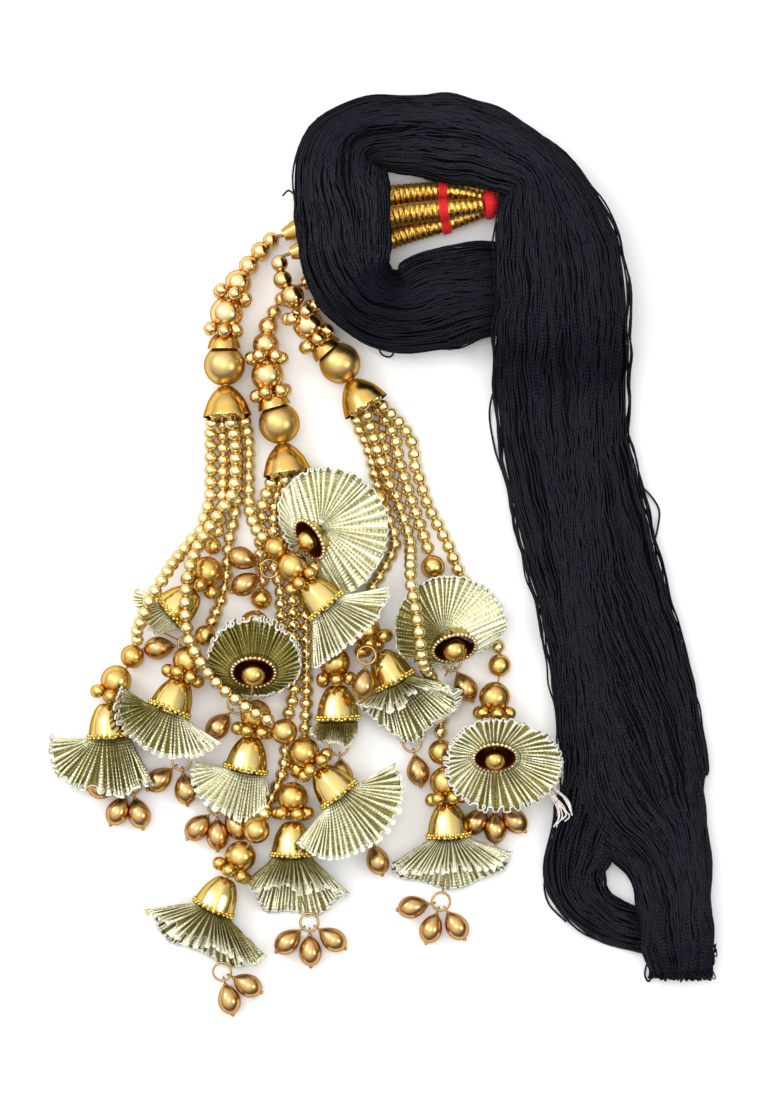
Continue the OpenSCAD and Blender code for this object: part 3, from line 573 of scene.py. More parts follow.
class Finish:
    """A new material, or the world, under construction around its shader."""

    def __init__(self, owner, **settings):
        if isinstance(owner, str):
            MATERIALS[owner] = bpy.data.materials.new(owner)
            owner = MATERIALS[owner]
        owner.use_nodes = True
        self.tree = owner.node_tree
        self.shader = self.tree.nodes.get("Principled BSDF") or self.tree.nodes["Background"]
        for socket, value in settings.items():
            self.shader.inputs[socket.replace("_", " ")].default_value = value

    def node(self, kind, inputs, output=0, **settings):
        """Any node: its inputs by name or number, the output wanted and its settings."""
        node = self.tree.nodes.new(kind)
        for key, value in settings.items():
            setattr(node, key, value)
        for key, value in inputs.items():
            if isinstance(value, Value):
                self.tree.links.new(value.socket, node.inputs[key])
            else:
                node.inputs[key].default_value = value
        return Value(self, node.outputs[output])

    def feed(self, socket, value):
        """Links a value to the shader."""
        self.tree.links.new(value.socket, self.shader.inputs[socket])

    def map_uv(self):
        """The piece's UV map as u and v."""
        split = self.node("ShaderNodeSeparateXYZ", {0: self.node("ShaderNodeUVMap", {}, uv_map="UVMap")})
        return split, Value(self, split.socket.node.outputs["Y"])

    def tone(self):
        """The piece's own tone attribute."""
        return self.node("ShaderNodeAttribute", {}, "Fac", attribute_name="tone")

    def noise(self, scale, detail, vector=None):
        """Soft random pattern from 0 to 1 over a vector, or else the place on the piece in metres."""
        vector = vector or self.node("ShaderNodeTexCoord", {}, "Object")
        return self.node("ShaderNodeTexNoise", {"Vector": vector, "Scale": scale, "Detail": detail})

    def colour(self, share, first, second):
        """Base colour: the first where share is 0, the second where it is 1."""
        inputs = {0: share, 6: (*first, 1), 7: (*second, 1)}
        self.feed("Base Color", self.node("ShaderNodeMix", inputs, 2, data_type="RGBA"))

    def bump(self, height, distance, strength):
        """Relief: the height, from 0 to 1, times a distance in metres."""
        inputs = {"Height": height, "Distance": distance, "Strength": strength}
        self.feed("Normal", self.node("ShaderNodeBump", inputs))


def metallic_finish(name, dark, light, edge, roughness, spread=0.05, grain=0.0):
    """Coloured metal coat: base colour between two tints by the bead's tone and a soft noise,
    a tint of its own where it is seen edge on, roughness varied by a finer noise, and an
    optional fine grain in relief."""
    finish = Finish(name, Metallic=1.0, Specular_Tint=(*edge, 1))
    finish.colour(finish.tone() * 0.7 + finish.noise(260, 2) * 0.3, dark, light)
    finish.feed("Roughness", finish.noise(900, 3) * spread * 2 + (roughness - spread))
    if grain:
        finish.bump(finish.noise(2600, 2), grain, 0.6)


def thread_finish(name, dark, light, sheen, roughness):
    """Twisted thread: colour by the thread's tone and a fuzz, fine diagonal twist in relief."""
    finish = Finish(name, Roughness=roughness, Specular_IOR_Level=sheen)
    u, v = finish.map_uv()
    twist = (u * TURN + v * (TURN / 1.3)).sine() * 0.5 + 0.5
    fuzz = finish.noise(1100, 3)
    finish.colour((finish.tone() * 0.55 + fuzz * 0.5 + twist * 0.25 - 0.15).clamped(), dark, light)
    finish.bump(twist * 0.5 + fuzz * 0.5, 0.00025, 0.8)


def hank_core_finish():
    """The bundle under the loose threads: lines along it that wander, by a sine of the turn
    round the bundle plus a noise stretched along it."""
    finish = Finish("hank_core", Roughness=0.5, Specular_IOR_Level=0.08)
    u, v = finish.map_uv()
    flow = finish.node("ShaderNodeCombineXYZ", {0: u * 14.0, 1: v * 0.035})
    lines = (u * (TURN * 110.0) + finish.noise(1.6, 3, flow) * 40.0).sine() * 0.5 + 0.5
    finish.colour(lines, (0.001, 0.001, 0.0015), (0.006, 0.0065, 0.010))
    finish.bump(lines, 0.0007, 0.9)


def ribbon_finish():
    """Woven metallic ribbon: painted shade in the valleys and painted highlight on the ridges by the
    piece's tone, broken into dashes by ribs round the skirt, lines of the weave down it, painted
    sparkle from a noise that also jitters the weave and roughness, and finer painted glints."""
    finish = Finish("ribbon", Metallic=0.75, Specular_IOR_Level=0.6)
    u, v = finish.map_uv()
    jitter_and_painted_sparkle = finish.noise(700, 3) - 0.5
    rib = (v * (TURN / 0.85) + jitter_and_painted_sparkle * 5.0).sine()
    weave = (u * (TURN * 4.0) + jitter_and_painted_sparkle * 3.0).sine()
    painted_glint = finish.noise(2000, 2) - 0.5
    # Colour share: the tone's painted light, the weave's ribs, painted sparkle and painted glints
    share = finish.tone() + rib * 0.16 + rib * weave * 0.12 + jitter_and_painted_sparkle * 0.9 + painted_glint * 1.3
    # Dark olive where the painted shade is deepest, pale silver where the painted highlight is
    finish.colour(share.clamped(), (0.255, 0.212, 0.048), (0.94, 0.93, 0.69))
    finish.feed("Roughness", rib * 0.08 + jitter_and_painted_sparkle * 0.2 + 0.4)
    finish.bump(rib * 0.4 + weave * 0.15 + 0.5, 0.0002, 0.8)


def cord_finish():
    """Gold thread wound round a cord, coloured by the piece's tone: painted highlight on the ribs and
    on the cord's side towards +Y, painted shade, dark brown, in the grooves and on its side towards
    -Y, broken by short fibres that run round the cord: a noise stretched round it."""
    finish = Finish("gold_cord", Metallic=0.9, Roughness=0.28)
    u, v = finish.map_uv()
    fibre = finish.noise(1.0, 2, finish.node("ShaderNodeCombineXYZ", {0: u * 9.0, 1: v * 3.2}))
    specks = finish.noise(1500, 2)
    # Share of bright gold: the tone's painted highlight and shade, then fibres and specks
    share = finish.tone() * 0.55 + (fibre - 0.5) * 2.8 + (specks - 0.5) * 1.6 + 0.2
    finish.colour(share.clamped(), (0.12, 0.035, 0.005), (1.0, 0.58, 0.105))
    finish.bump(fibre * 0.6 + specks * 0.4, 0.0005, 0.9)


BROWN = (0.42, 0.20, 0.06)
OLIVE = (0.34, 0.20, 0.04)
METALS = {
    "strand_gold": ((0.79, 0.60, 0.26), (0.96, 0.80, 0.44), OLIVE, 0.22),
    "string_gold": ((0.76, 0.52, 0.21), (0.92, 0.68, 0.33), BROWN, 0.2),
    "satin_gold": ((0.62, 0.42, 0.14), (0.68, 0.48, 0.18), BROWN, 0.33, 0.04, 0.00004),
    "pearl_gold": ((0.66, 0.41, 0.11), (0.80, 0.54, 0.18), BROWN, 0.25),
    "copper": ((0.51, 0.29, 0.11), (0.70, 0.44, 0.19), BROWN, 0.25),
    "cap_gold": ((0.62, 0.36, 0.085), (0.78, 0.52, 0.165), OLIVE, 0.2),
    "bud_cap_gold": ((0.66, 0.47, 0.13), (0.88, 0.70, 0.30), OLIVE, 0.15),
    "trim_gold": ((0.62, 0.44, 0.06), (0.98, 0.82, 0.24), OLIVE, 0.2),
    # Inner walls of caps and bells: dark maroon metal, the painted shade of their hollows
    "cap_inside_painted_shade": ((0.16, 0.04, 0.016), (0.30, 0.09, 0.03), BROWN, 0.45),
    "pale_grain": ((0.66, 0.52, 0.24), (0.90, 0.82, 0.55), BROWN, 0.25),
    "ring_brass": ((0.42, 0.25, 0.08), (0.60, 0.40, 0.15), BROWN, 0.25)
}
THREADS = {
    "black_thread": ((0.0015, 0.0018, 0.0038), (0.0082, 0.0108, 0.019), 0.14, 0.4),
    "red_thread": ((0.46, 0.008, 0.014), (0.90, 0.03, 0.035), 0.2, 0.45),
    "gold_thread": ((0.20, 0.10, 0.025), (0.50, 0.30, 0.10), 0.4, 0.45),
    "white_thread": ((0.70, 0.70, 0.58), (0.92, 0.92, 0.84), 0.5, 0.5),
    "fray": ((0.66, 0.58, 0.52), (0.92, 0.87, 0.82), 0.5, 0.6)
}
for name, row in METALS.items():
    metallic_finish(name, *row)
for name, row in THREADS.items():
    thread_finish(name, *row)
hank_core_finish()
ribbon_finish()
cord_finish()


# Hank of black thread
def hank_sections(stations, rings):
    """Smooth middle line, level side vector, width, thickness and distance at even steps."""
    curve = smooth_path(stations, 16)
    rows = at_distances(curve, np.linspace(0, run_length(curve)[-1], rings))
    along = slopes(rows[:, :2])
    side = together(along[:, 1], -along[:, 0], 0)
    return rows[:, :3], side, rows[:, 3], rows[:, 4], run_length(rows)


def rounded(value):
    """Cosine or sine bent to a superellipse: its sign times its size to 2 over the squareness."""
    return np.sign(value) * np.abs(value) ** (2 / HANK_SQUARE)


def lock_height(angle, run):
    """Height of the locks that the threads lie in: a sum of waves whose phase is a multiple
    of the angle round the bundle plus the distance along it over a length."""
    return sum(height * sin(turns * angle + run / length * TURN / 4 + phase)
               for turns, length, height, phase in LOCKS)


def on_section(sections, angle, scale):
    """Point of the bundle's surface at an angle round it, times a scale about its middle,
    raised by the height of its lock."""
    middle, side, width, thick, run = sections
    across = rounded(cos(angle)) * width / 2 * scale
    above = rounded(sin(angle)) * thick / 2 * scale
    above = above + lock_height(angle, run) * np.clip(sin(angle), 0, 1)
    return middle + side * across[..., None] + UP * above[..., None]


def add_core(pile, sections, sides, scale):
    """Closed bundle inside the loose threads, u round it and v along it in millimetres."""
    angle = (np.arange(sides) + 0.5) * TURN / sides
    points = on_section(sections, angle[:, None], scale).swapaxes(0, 1)
    faces = [face[:, ::-1] for face in tube_faces(len(points), sides)]
    pile.add(points, faces, 1, together(np.arange(sides) / sides, sections[4][:, None]))


def add_threads(pile, sections, many, wander, low, high):
    """Threads on the bundle's surface, most of them on top: the angle of each wanders by slow
    waves, and it waves sideways with its neighbours, and a little on its own."""
    run = sections[4]
    spread = (np.arange(many) + rng.random(many)) / many * 2 - 1
    rng.shuffle(spread)
    start = np.arccos(np.sign(spread) * np.abs(spread) ** (HANK_SQUARE / 2))
    start = np.where(rng.random(many) < TOP_SHARE, start, -start)[:, None]
    phase = rng.random((6, many, 1)) * TURN
    shared = 0.16 * sin(run / 46 + 1.5 * start) + 0.1 * sin(run / 23 + 3 * start + 1.0)
    angle = start + wander * sin(run / 95 + phase[0]) + wander * 0.4 * sin(run / 37 + phase[1])
    angle = angle + shared * np.abs(sin(start))
    scale = rng.uniform(low, high, (many, 1)) + 0.012 * sin(run / 17 + phase[2])
    points = on_section(sections, angle, scale)
    wave = 0.3 * sin(run / 3.1 + 2.5 * start + 0.5 * sin(phase[3]))
    wave = wave + 0.3 * sin(run / 5.3 + phase[3]) + 0.12 * sin(run / 1.9 + phase[4])
    lift = 0.16 * sin(run / 2.7 + phase[5])
    points = points + sections[1] * wave[..., None] + UP * lift[..., None]
    points[..., 2] = np.maximum(points[..., 2], HANK_THREAD / 2 + 0.05)
    add_tubes(pile, points, HANK_THREAD / 2, 3)


def end_tufts(many, left, right, height):
    """Small loops at the hank's free end: half ellipses that lean out from the last ring."""
    base = mix(np.array(left), np.array(right), rng.random((many, 1)))[:, None]
    reach = rng.uniform(0.6, 3.0, (many, 1, 1))
    wide = rng.uniform(0.35, 0.9, (many, 1, 1))
    lean = np.radians(rng.uniform(-125, -40, (many, 1)))
    turn = np.linspace(-0.15, 1.15, 11)[:, None] * np.pi
    paths = base + together(-sin(lean), cos(lean), 0) * wide * cos(turn)
    paths = paths + together(cos(lean), sin(lean), 0) * reach * sin(turn)
    paths[..., 2] = rng.uniform(HANK_THREAD / 2 + 0.1, height, (many, 1))
    return paths


def black_hank():
    """The hank's bundle with its loose threads, the turned-back threads and their ends."""
    sections = hank_sections(HANK, HANK_RINGS)
    core = Pile()
    add_core(core, sections, 56, 0.93)
    core.make("hank_core", "black_thread", BUNDLE, "thread_hank")
    for n in (1, 2):
        pile = Pile()
        add_threads(pile, sections, HANK_THREADS, 0.16, 0.96, 1.01)
        pile.make(f"hank_threads_{n}", "black_thread", BUNDLE[:1])
    turned = hank_sections(END_LOOP, LOOP_RINGS)
    loop = Pile()
    add_core(loop, turned, 32, 0.9)
    add_threads(loop, turned, LOOP_THREADS, 0.2, 0.94, 1.0)
    loop.make("end_loop_threads", "black_thread", BUNDLE, "hank_end_loop")
    ends = Pile()
    add_tubes(ends, end_tufts(100, [88.2, -139, 1], [107.6, -139.4, 1], 7.0), 0.3, 3)
    add_tubes(ends, end_tufts(24, [107.8, -139, 1], [108.8, -130, 1], 6.0), 0.28, 3)
    for route in STRAY_THREADS:
        add_tube(ends, smooth_path(route, 8), HANK_THREAD * 0.4, 4)
    ends.make("thread_ends", "black_thread", BUNDLE[:1])


# Wrapped cords, knob and ties
def wrapped_cord(n):
    """Cord wound with gold thread: its radius dips between ribs, one rib a pitch, and the
    ribs climb by one pitch in a turn."""
    path = even_path(CORDS[n - 1], CORD_PITCH / 7)
    run = run_length(path)[:, None]
    radius = mix(CORD_KNOB, CORD_CAP, np.minimum(1, run / (run[-1] * 0.5))) / 2
    turn = turns(CORD_SIDES) / TURN
    rib = np.abs(sin(np.pi * (run / CORD_PITCH + turn))) ** 0.7
    ring = tube_points(path, 1, CORD_SIDES) - path[:, None]
    points = path[:, None] + ring * (radius * (0.88 + 0.12 * rib))[..., None]
    uv = together(turn, run / CORD_PITCH)
    pile = Pile()
    # Tone: painted highlight on ribs and the +Y side, painted shade in grooves and on the -Y side
    pile.add(points, tube_faces(len(path), CORD_SIDES), 0, uv, rib + 0.75 * ring[..., 1])
    pile.make(f"gold_cord_{n}", "gold_cord", ["gold_cord"], f"wrapped_cord_{n}")


def red_windings():
    """Knob and ties: turns of red thread side by side. The knob's are circles whose radius
    follows a sphere's, squeezed to the knob's shape and wound round a ball that fills it."""
    knob, ties = Pile(), Pile()
    turn = np.linspace(0, TURN, 41)
    for h in np.linspace(-0.93, 0.93, 11):
        circle = together(h, np.sqrt(1 - h * h) * cos(turn), np.sqrt(1 - h * h) * sin(turn))
        path = KNOB + circle * [2.6, 5.0, 5.4] + sin(turn)[:, None] * [0.25, 0, 0]
        add_tube(knob, path, 0.36, 6, 0, 0.85 + 0.15 * sin(9 * h), [1.0, 0.1, 0.2])
    points, faces = ball(32, 20)
    knob.add(points * [2.7, 4.9, 5.4] + KNOB, faces, 0, None, 0.6)
    knob.make("knob_windings", "red_thread", ["red_thread"], "red_knob")
    for offset, route in zip((0.3, 0.0, -0.5), CORDS):
        path = even_path(route, 0.5)
        near = np.argmin(np.linalg.norm(path - mix(route[1], route[2], 0.06), axis=1))
        for k in range(4):
            place = run_length(path)[near] + 0.72 * (k - 1.5) + offset
            spot = at_distances(path, [place])[0]
            add_ring(ties, spot, slopes(path)[near], CORD_CAP / 2 - 0.33, 0.78, 0, 36)
    ties.make("tie_windings", "red_thread", ["red_thread"], "red_tie")


# Caps, bells and the strings of beads
def inner_wall(outer):
    """The outer outline run back from the mouth, a sheet's thickness inside it."""
    radius, height = outer[::-1].T
    inside = np.minimum(height + SHEET * (1 - height / height[0]), height[0])
    return together(np.maximum(radius - SHEET, 0.2), inside)


def add_cap(pile, top, direction, top_width, mouth_width, length, slots, grain_slot=None):
    """Fluted cap of sheet metal, closed at its small end. With a slot for grains a row of them
    goes round its mouth: one row of pale grains, or else a zigzag of smaller ones."""
    r, m = top_width / 2, mouth_width / 2
    outer = smooth_path([
        [0.4, 0], [r, 0.1], [r + 0.34 * (m - r), 0.14 * length], [r + 0.7 * (m - r), 0.42 * length],
        [r + 0.9 * (m - r), 0.74 * length], [m, length]
    ], 4)
    add_lathe(pile, top, direction, outer, 40, slots, inner_wall(outer), 8, 0.05)
    if grain_slot is None:
        return
    size, spacing, zigzag = (1.15, 2.04, 0) if grain_slot == PALE_SLOT else (0.95, 1.56, 0.42)
    grain = GRAIN * size
    grains = 2 * round(np.pi * mouth_width / (grain * spacing))
    rise = length - 0.4 + zigzag * (-1) ** np.arange(grains)
    rim = stood(about(m, turns(grains), rise), top, direction)
    add_beads(pile, rim, direction, grain * rng.uniform(0.85, 1.1, grains), 7, 5, grain_slot)


def ring_of_beads(pile, centre, axis, turn):
    """Six small beads round the thread, each a little out of place."""
    angle = turn + turns(6) + rng.uniform(-0.07, 0.07, 6)
    reach = RING_RADIUS + rng.uniform(-0.15, 0.2, 6)
    spots = stood(about(reach, angle, rng.uniform(-0.35, 0.35, 6)), 0, axis)
    add_beads(pile, centre + spots, spots, RING_BEAD, 16, 10)


def string_of_beads(n):
    """Upper string: beads of growing size, rings of small beads, and the satin bead's cap."""
    rows, satin = np.array(STRINGS[n - 1]), TASSEL_HEADS[n - 1][0]
    stops = np.vstack([CORD_TIPS[n - 1], rows[:, :3], satin])
    along = unit(stops[2:] - stops[:-2])
    whole = rows[:, 3] > 0
    pile = Pile()
    add_beads(pile, rows[whole, :3], along[whole], rows[whole, 3] * STRING_GROWTH, 26, 16)
    for spot, axis in zip(rows[~whole, :3], along[~whole]):
        ring_of_beads(pile, spot, axis, rng.uniform(0, 1))
    down = unit(satin - rows[-1, :3])
    add_cap(pile, satin - down * (MATTE_BEAD / 2 + 3.8), down, 4, 11, 5, 1)
    pile.make(f"bead_string_{n}", "gold_bead", ["string_gold", "cap_gold"], f"string_beads_{n}")


def tassel_head(n):
    """Satin bead with a low lip round each end of its hole, and below it the bell: a smooth
    flaring wall whose lip turns out a little."""
    satin, mouth = TASSEL_HEADS[n - 1]
    along = unit(mouth - satin)
    pile = Pile()
    add_beads(pile, satin, along, MATTE_BEAD, 52, 32)
    for end in (-1, 1):
        add_ring(pile, satin + along * end * (MATTE_BEAD / 2 - 0.15), along, 1.3, 0.5)
    pile.make(f"satin_bead_{n}", "satin_bead", ["satin_gold"], f"matte_bead_{n}")
    r, length = BELL_WIDTH / 2, BELL_LENGTH
    outer = smooth_path([
        [0.5, 0], [1.8, 0.1], [0.34 * r, 0.07 * length], [0.56 * r, 0.24 * length],
        [0.78 * r, 0.5 * length], [0.92 * r, 0.78 * length], [r - 0.05, 0.95 * length], [r, length]
    ], 5)
    bell = Pile()
    add_lathe(bell, mouth - along * length, along, outer, 64, (0, 1), inner_wall(outer))
    bell.make(f"bell_cup_{n}", "gold_metal", ["cap_gold", "cap_inside_painted_shade"], f"bell_{n}")


# Buds
def heading(azimuth, rise=0):
    """Unit vector at an azimuth and a rise, in degrees."""
    a, e = np.radians(azimuth), np.radians(rise)
    return np.array([cos(a) * cos(e), sin(a) * cos(e), sin(e)])


class Bud:
    """Places of one bud: its two beads, cap and stopper, and the directions between them."""

    def __init__(self, n):
        row = BUDS[n - 1]
        self.n, self.tassel = n, int(row[12])
        self.first, self.first_size, self.last = row[0:3], row[3], row[4:7]
        self.rim, self.aim = row[7:10], heading(row[10], row[11])
        self.top = self.rim - self.aim * CAP_LENGTH
        self.stopper = self.rim + self.aim * 0.5
        self.first_dir = unit(self.last - STRANDS[n - 1][-1])
        self.last_dir = unit(self.top - self.first)
        self.seat_dir = unit(self.top - self.last)
        self.looks_up = row[11] > 20
        x, y, z, self.drops, self.turn = DROPS[n - 1]
        self.ring = np.array([x, y, z])


BUD_LIST = [Bud(n) for n in range(1, 16)]


def bud_parts(tassel):
    """Beads, caps and drops of one tassel's five buds, in three pieces."""
    beads, caps, drops = Pile(), Pile(), Pile()
    buds = [bud for bud in BUD_LIST if bud.tassel == tassel]
    for bud in buds:
        add_beads(beads, bud.first, bud.first_dir, bud.first_size, 26, 16)
        add_beads(beads, bud.last, bud.last_dir, BUD_BEAD, 32, 20)
        add_beads(beads, bud.stopper, bud.aim, WIDE_STOPPER if bud.n in WIDE_BUDS else STOPPER, 28, 18)
        ring_of_beads(beads, bud.last + bud.seat_dir * RING_SEAT, bud.seat_dir, rng.uniform(0, 1))
        trim = PALE_SLOT if bud.looks_up else TRIM_SLOT
        add_cap(caps, bud.top, bud.aim, CAP_TOP, CAP_WIDTH, CAP_LENGTH, (0, 1), trim)
    beads.make(f"pearl_beads_{tassel}", "pearl_bead", ["pearl_gold"], f"bud_beads_{tassel}")
    caps.make(f"fluted_caps_{tassel}", "gold_metal", CAP_METALS, f"bud_caps_{tassel}")
    for bud in buds:
        add_ring(drops, bud.ring, UP, JUMP_RADIUS, WIRE, 1, 36)
        for azimuth in bud.drops:
            add_drop(drops, bud.ring, azimuth)
    drops.make(f"teardrops_{tassel}", "copper_drop", ["copper", "ring_brass"], f"drops_{tassel}")


def add_drop(pile, ring, azimuth):
    """Teardrop: its radius follows a sine of a power of the distance from its tip. A wire
    eye joins it to the jump ring, and a pin's head ends it."""
    along = heading(azimuth)
    tip = ring + along * (JUMP_RADIUS + EYE_RADIUS + 0.2)
    s = np.linspace(0.0, 1.0, 18)
    radius = DROP_WIDTH / 2 * sin(np.pi * np.clip(s, 0.004, 0.997) ** 1.2) ** 0.54
    outline = np.vstack([[0.02, 0], together(radius, s * DROP_LENGTH), [0.02, DROP_LENGTH]])
    add_lathe(pile, tip, along, outline, 26)
    add_beads(pile, tip + along * (DROP_LENGTH + 0.05), along, 1.3, 10, 7, 1)
    add_ring(pile, ring + along * JUMP_RADIUS, heading(azimuth + 90), EYE_RADIUS, EYE_WIRE, 1, 18, 6)
    add_ring(pile, tip + along * 0.1, along, 0.5, 0.5, 1, 14, 6)


# Strands
def strand_of_beads(bud):
    """Small beads side by side along the strand, then the bare thread through the bud to the
    drops' ring."""
    strand_end = bud.first - bud.first_dir * (bud.first_size / 2 + 0.7)
    route = smooth_path(np.vstack([STRANDS[bud.n - 1], strand_end]), 10)
    length = run_length(route)[-1]
    many = round(length / (STRAND_BEAD * 0.985))
    centres = at_distances(route, (np.arange(many) + 0.5) * length / many)
    sizes = STRAND_BEAD * rng.uniform(1.03, 1.08, many)
    pile = Pile()
    add_beads(pile, centres, slopes(centres), sizes, 14, 9)
    add_tube(pile, route[::4], 0.5, 6, 1)
    leave = bud.stopper + bud.aim * (STOPPER / 2 + 0.5)
    turn = np.array(bud.turn or leave)
    stops = [
        strand_end, bud.first + bud.first_dir * bud.first_size / 2,
        bud.last + bud.last_dir * BUD_BEAD / 2, bud.top + bud.aim * 0.5, leave
    ]
    if bud.turn:
        stops.append(turn)
    stops.append(bud.ring + unit((turn - bud.ring) * LEVEL) * (JUMP_RADIUS + 0.2))
    add_tube(pile, np.vstack(stops), THREAD / 3, 5, 1)
    pile.make(f"bead_strand_{bud.n}", "strand_bead", ["strand_gold", "gold_thread"], f"strand_{bud.n}")


# Ribbon skirts
def rim_point(bud, phi):
    """Gathered edge: a circle round the cap's axis just past its rim. Where the skirt is drawn
    together, its upper side is blended to a small circle about that point."""
    side = unit(np.cross(UP, bud.aim))
    circle = cos(phi)[..., None] * side + sin(phi)[..., None] * np.cross(bud.aim, side)
    past, gather = (-0.6, CAP_WIDTH / 2 + 0.7) if bud.looks_up else (0.95, GATHER_RADIUS)
    ring = bud.rim + bud.aim * past + gather * circle
    if bud.n not in PINCHES:
        return ring
    share = np.clip(sin(phi) * 1.6 + 0.5, 0, 1)[..., None]
    return mix(ring, np.array(PINCHES[bud.n]) + 0.9 * circle, share)


def hem_point(bud, phi):
    """Hem as it fell: reach, forward distance and height blended between the left, right,
    top and bottom places by the cosine and sine of the angle."""
    row = SKIRTS[bud.n - 1]
    left_reach, right_reach, f_left, f_right, f_top, f_foot, z_left, z_right, z_top, z_foot = row
    ahead = unit(bud.aim * LEVEL)
    side = np.array([-ahead[1], ahead[0], 0])
    c, s = cos(phi), sin(phi)
    left = (1 + c) / 2
    reach = np.where(c > 0, left_reach, right_reach) * c
    forward = mix(mix(f_right, f_left, left), np.where(s > 0, f_top, f_foot), np.abs(s))
    height = mix(mix(z_right, z_left, left), np.where(s > 0, z_top, z_foot), np.abs(s) ** 0.6)
    flat = bud.rim * LEVEL
    return flat + ahead * forward[..., None] + side * reach[..., None] + UP * height[..., None]


def ribbon_point(bud, phi, t):
    """Straight line from the gathered edge to the hem at each angle, t along it."""
    return mix(rim_point(bud, phi), hem_point(bud, phi), t[..., None])


def ribbon_normal(bud, phi, t):
    """Unit normal of the smooth ribbon from small steps round and along it."""
    around = ribbon_point(bud, phi + 0.035, t) - ribbon_point(bud, phi - 0.035, t)
    down = ribbon_point(bud, phi, t + 0.02) - ribbon_point(bud, phi, t - 0.02)
    return unit(np.cross(around, down))


def uneven(count, step, low, high):
    """Straight blends between random values, one every so many pleats, at each pleat count."""
    knots = round(PLEATS / step) + 1
    return np.interp(count / step, np.arange(knots), rng.uniform(low, high, knots))


def ripple(phi, waves, height):
    """So many waves round the skirt, from a random start."""
    return height * sin(waves * phi + rng.uniform(0, 6))


def skirt(bud):
    """Pleated ribbon: the smooth surface moved along its normal by a zigzag of the angle that
    rounds off and deepens towards the hem, each pleat of its own width and depth. The hem also
    sways sideways twice a pleat, so that its folds bulge. A skirt with deep pleats is loose:
    its hem runs in and out in lobes, ruffled on top. Its tone is painted light: painted highlight
    on the ridges, painted shade in the valleys, the skirt's painted sheen and shade at each side,
    slow waves of painted sheen round it, and on deep skirts painted shade near the gather."""
    columns, rows = PLEATS * 6 + 1, 9
    count = np.linspace(0, PLEATS, columns)
    steps = uneven(count, 1, 0.55, 1.6)
    share = (np.cumsum(steps) - steps[0]) / (steps.sum() - steps[0])
    phi, t = np.broadcast_arrays(np.radians(-89.6 + 359.2 * share)[:, None], np.linspace(0, 1, rows))
    count = count[:, None]
    own = uneven(count, 1, 0.5, 1.5)
    place = count + uneven(count, 2, -0.7, 0.7) * t
    fold = mix(1 - 4 * np.abs(place % 1 - 0.5), -cos(TURN * place), t * t)
    out_left, out_right, in_left, in_right, deep = PAINTED_SHEEN_AND_SHADE[bud.n - 1]
    depth = mix(GATHER_DEPTH, PLEAT_DEPTH * deep, t) / 2 * own
    loose = np.clip(deep - 1, 0, 0.5)
    lobes = 0 if bud.looks_up else loose
    slack = (ripple(phi, 3, 0.5) + ripple(phi, 7, 0.4)) * (1 + 1.6 * lobes)
    normal = ribbon_normal(bud, phi, t)
    middle = ribbon_point(bud, phi, t) + normal * (fold * depth + slack * t * t)[..., None]
    fall = hem_point(bud, phi) - rim_point(bud, phi)
    down = unit(fall)
    ruffle = 0.4 + 1.9 * loose * np.clip(sin(phi) + 0.4, 0, 1)
    edge = uneven(count, 1 / 3, -0.3, 0.3) + ruffle * own * fold + ripple(phi, 5, 2.4 * lobes)
    sway = 0.3 * deep * sin(2 * TURN * place) + 0.3 * sin(TURN * 0.37 * count)
    middle = middle + down * (edge * t ** 3)[..., None]
    middle = middle + unit(np.cross(down, normal)) * (sway * t ** 4)[..., None]
    middle[..., 2] = np.maximum(middle[..., 2], RIBBON / 2 + SELVEDGE / 2 + 0.05)
    half = normal * RIBBON / 2
    face, shift = grid_faces(columns, rows), columns * rows
    grid = np.arange(shift).reshape(columns, rows)
    loop = np.concatenate([grid[:, 0], grid[-1, 1:], grid[-2::-1, -1], grid[0, -2:0:-1]])
    border = np.concatenate([loop, loop + shift])[grid_faces(2, len(loop), True)]
    left = (1 + cos(phi)) / 2
    # Painted sheen in slow waves round the skirt; deep skirts get painted shade near the gather
    light = ripple(phi, 2, 0.06) + ripple(phi, 5, 0.06) + 0.8 * np.clip(deep - 0.9, 0, 0.6) * (t - 0.55)
    # Tone of each side: painted highlight on its ridges and painted shade in its valleys
    outside = 0.5 + 1.5 * (mix(out_right, out_left, left) + light + fold / 2)
    inside = 0.5 + 1.5 * (mix(in_right, in_left, left) + light - fold / 2)
    uv = together(count, t * np.linalg.norm(fall, axis=-1).mean())
    pile, hems = Pile(), Pile()
    pile.add([middle + half, middle - half], [face[:, ::-1], border, face + shift], 0,
             [uv, uv], [outside, inside])
    piece = pile.make(f"ribbon_{bud.n}", "ribbon", ["ribbon"], f"skirt_{bud.n}")
    add_tube(hems, middle[:, -1], SELVEDGE, 5, 0, 0.7)
    edging = hems.make(f"ribbon_edge_{bud.n}", "ribbon", ["white_thread"])


def frayed_threads():
    """Loose white threads at the ribbons' ends."""
    pile = Pile()
    for route in FRAYS:
        for _ in range(3):
            jitter = rng.uniform(-0.7, 0.7, (len(route), 3)) * [1, 1, 0.3]
            path = smooth_path(np.array(route) + jitter, 8)
            path[:, 2] = np.maximum(path[:, 2], 0.4)
            add_tube(pile, path, 0.24, 4)
    pile.make("frayed_threads", "ribbon", ["fray"])


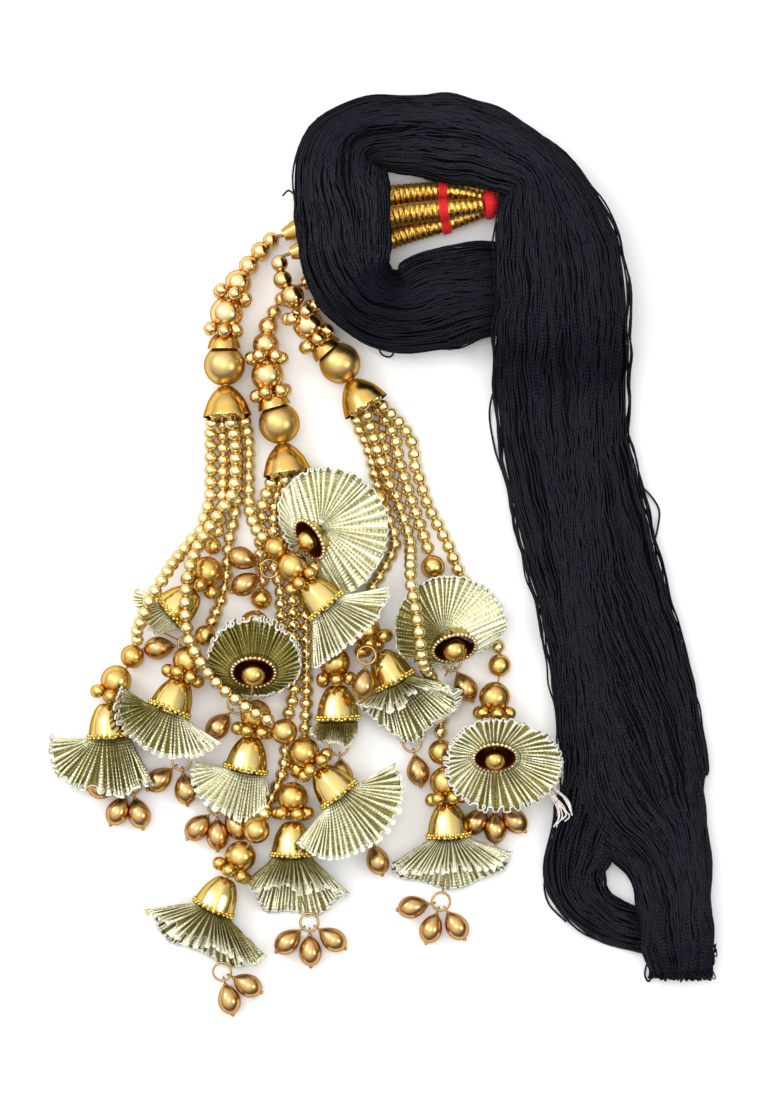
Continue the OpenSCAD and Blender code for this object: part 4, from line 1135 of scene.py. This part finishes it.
# Floor, light and camera
def studio():
    """White floor, an even pale surround that darkens towards the horizon and three soft boxes."""
    mesh = bpy.data.meshes.new("floor")
    corners = [(-FLOOR, -FLOOR, 0), (FLOOR, -FLOOR, 0), (FLOOR, FLOOR, 0), (-FLOOR, FLOOR, 0)]
    mesh.from_pydata(corners, [], [(0, 1, 2, 3)])
    paper = Finish("paper", Roughness=0.9, Specular_IOR_Level=0.1)
    paper.colour(paper.noise(60, 2), (0.93, 0.93, 0.93), (0.95, 0.95, 0.95))
    mesh.materials.append(MATERIALS["paper"])
    put("floor", mesh)
    bpy.context.scene.world = bpy.data.worlds.new("surround")
    sky = Finish(bpy.context.scene.world, Color=(1, 1, 1, 1))
    ways = {0: sky.node("ShaderNodeTexCoord", {}, "Generated"), 1: (-0.26, 0.33, 0.91)}
    height = sky.node("ShaderNodeVectorMath", ways, "Value", operation="DOT_PRODUCT")
    ramp = {"Value": height, "From Min": 0.1, "From Max": 0.95, "To Min": 0.14, "To Max": 1.6}
    sky.feed("Strength", sky.node("ShaderNodeMapRange", ramp))
    for spot, energy, width in SOFT_BOXES:
        light = bpy.data.lights.new("soft_box", "AREA")
        light.energy, light.size = energy, width
        lamp = put("soft_box", light)
        lamp.location = spot
        x, y, z = unit(spot)
        lamp.rotation_euler = (np.arccos(z), 0, np.arctan2(-y, -x) - np.pi / 2)


def camera():
    """Camera straight above the middle of the photograph, as far away as its flat look asks."""
    lens = bpy.data.cameras.new("camera")
    lens.sensor_fit = "VERTICAL"
    lens.sensor_height = 36
    lens.lens = lens.sensor_height * CAMERA_HEIGHT / FRAME_HEIGHT
    eye = put("camera", lens)
    eye.location = ((1.33 - MIDDLE[0]) * MM, -MIDDLE[1] * MM, CAMERA_HEIGHT)
    bpy.context.scene.camera = eye
    bpy.context.scene.view_settings.view_transform = "Standard"


camera()
studio()
black_hank()
red_windings()
for number in (1, 2, 3):
    wrapped_cord(number)
    string_of_beads(number)
    tassel_head(number)
    bud_parts(number)
for each in BUD_LIST:
    strand_of_beads(each)
    skirt(each)
frayed_threads()
for name in ("cord_caps", "string_thread_1", "string_thread_2", "string_thread_3"):
    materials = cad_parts[name].data.materials
    materials.clear()
    materials.append(MATERIALS["cap_gold" if name == "cord_caps" else "gold_thread"])
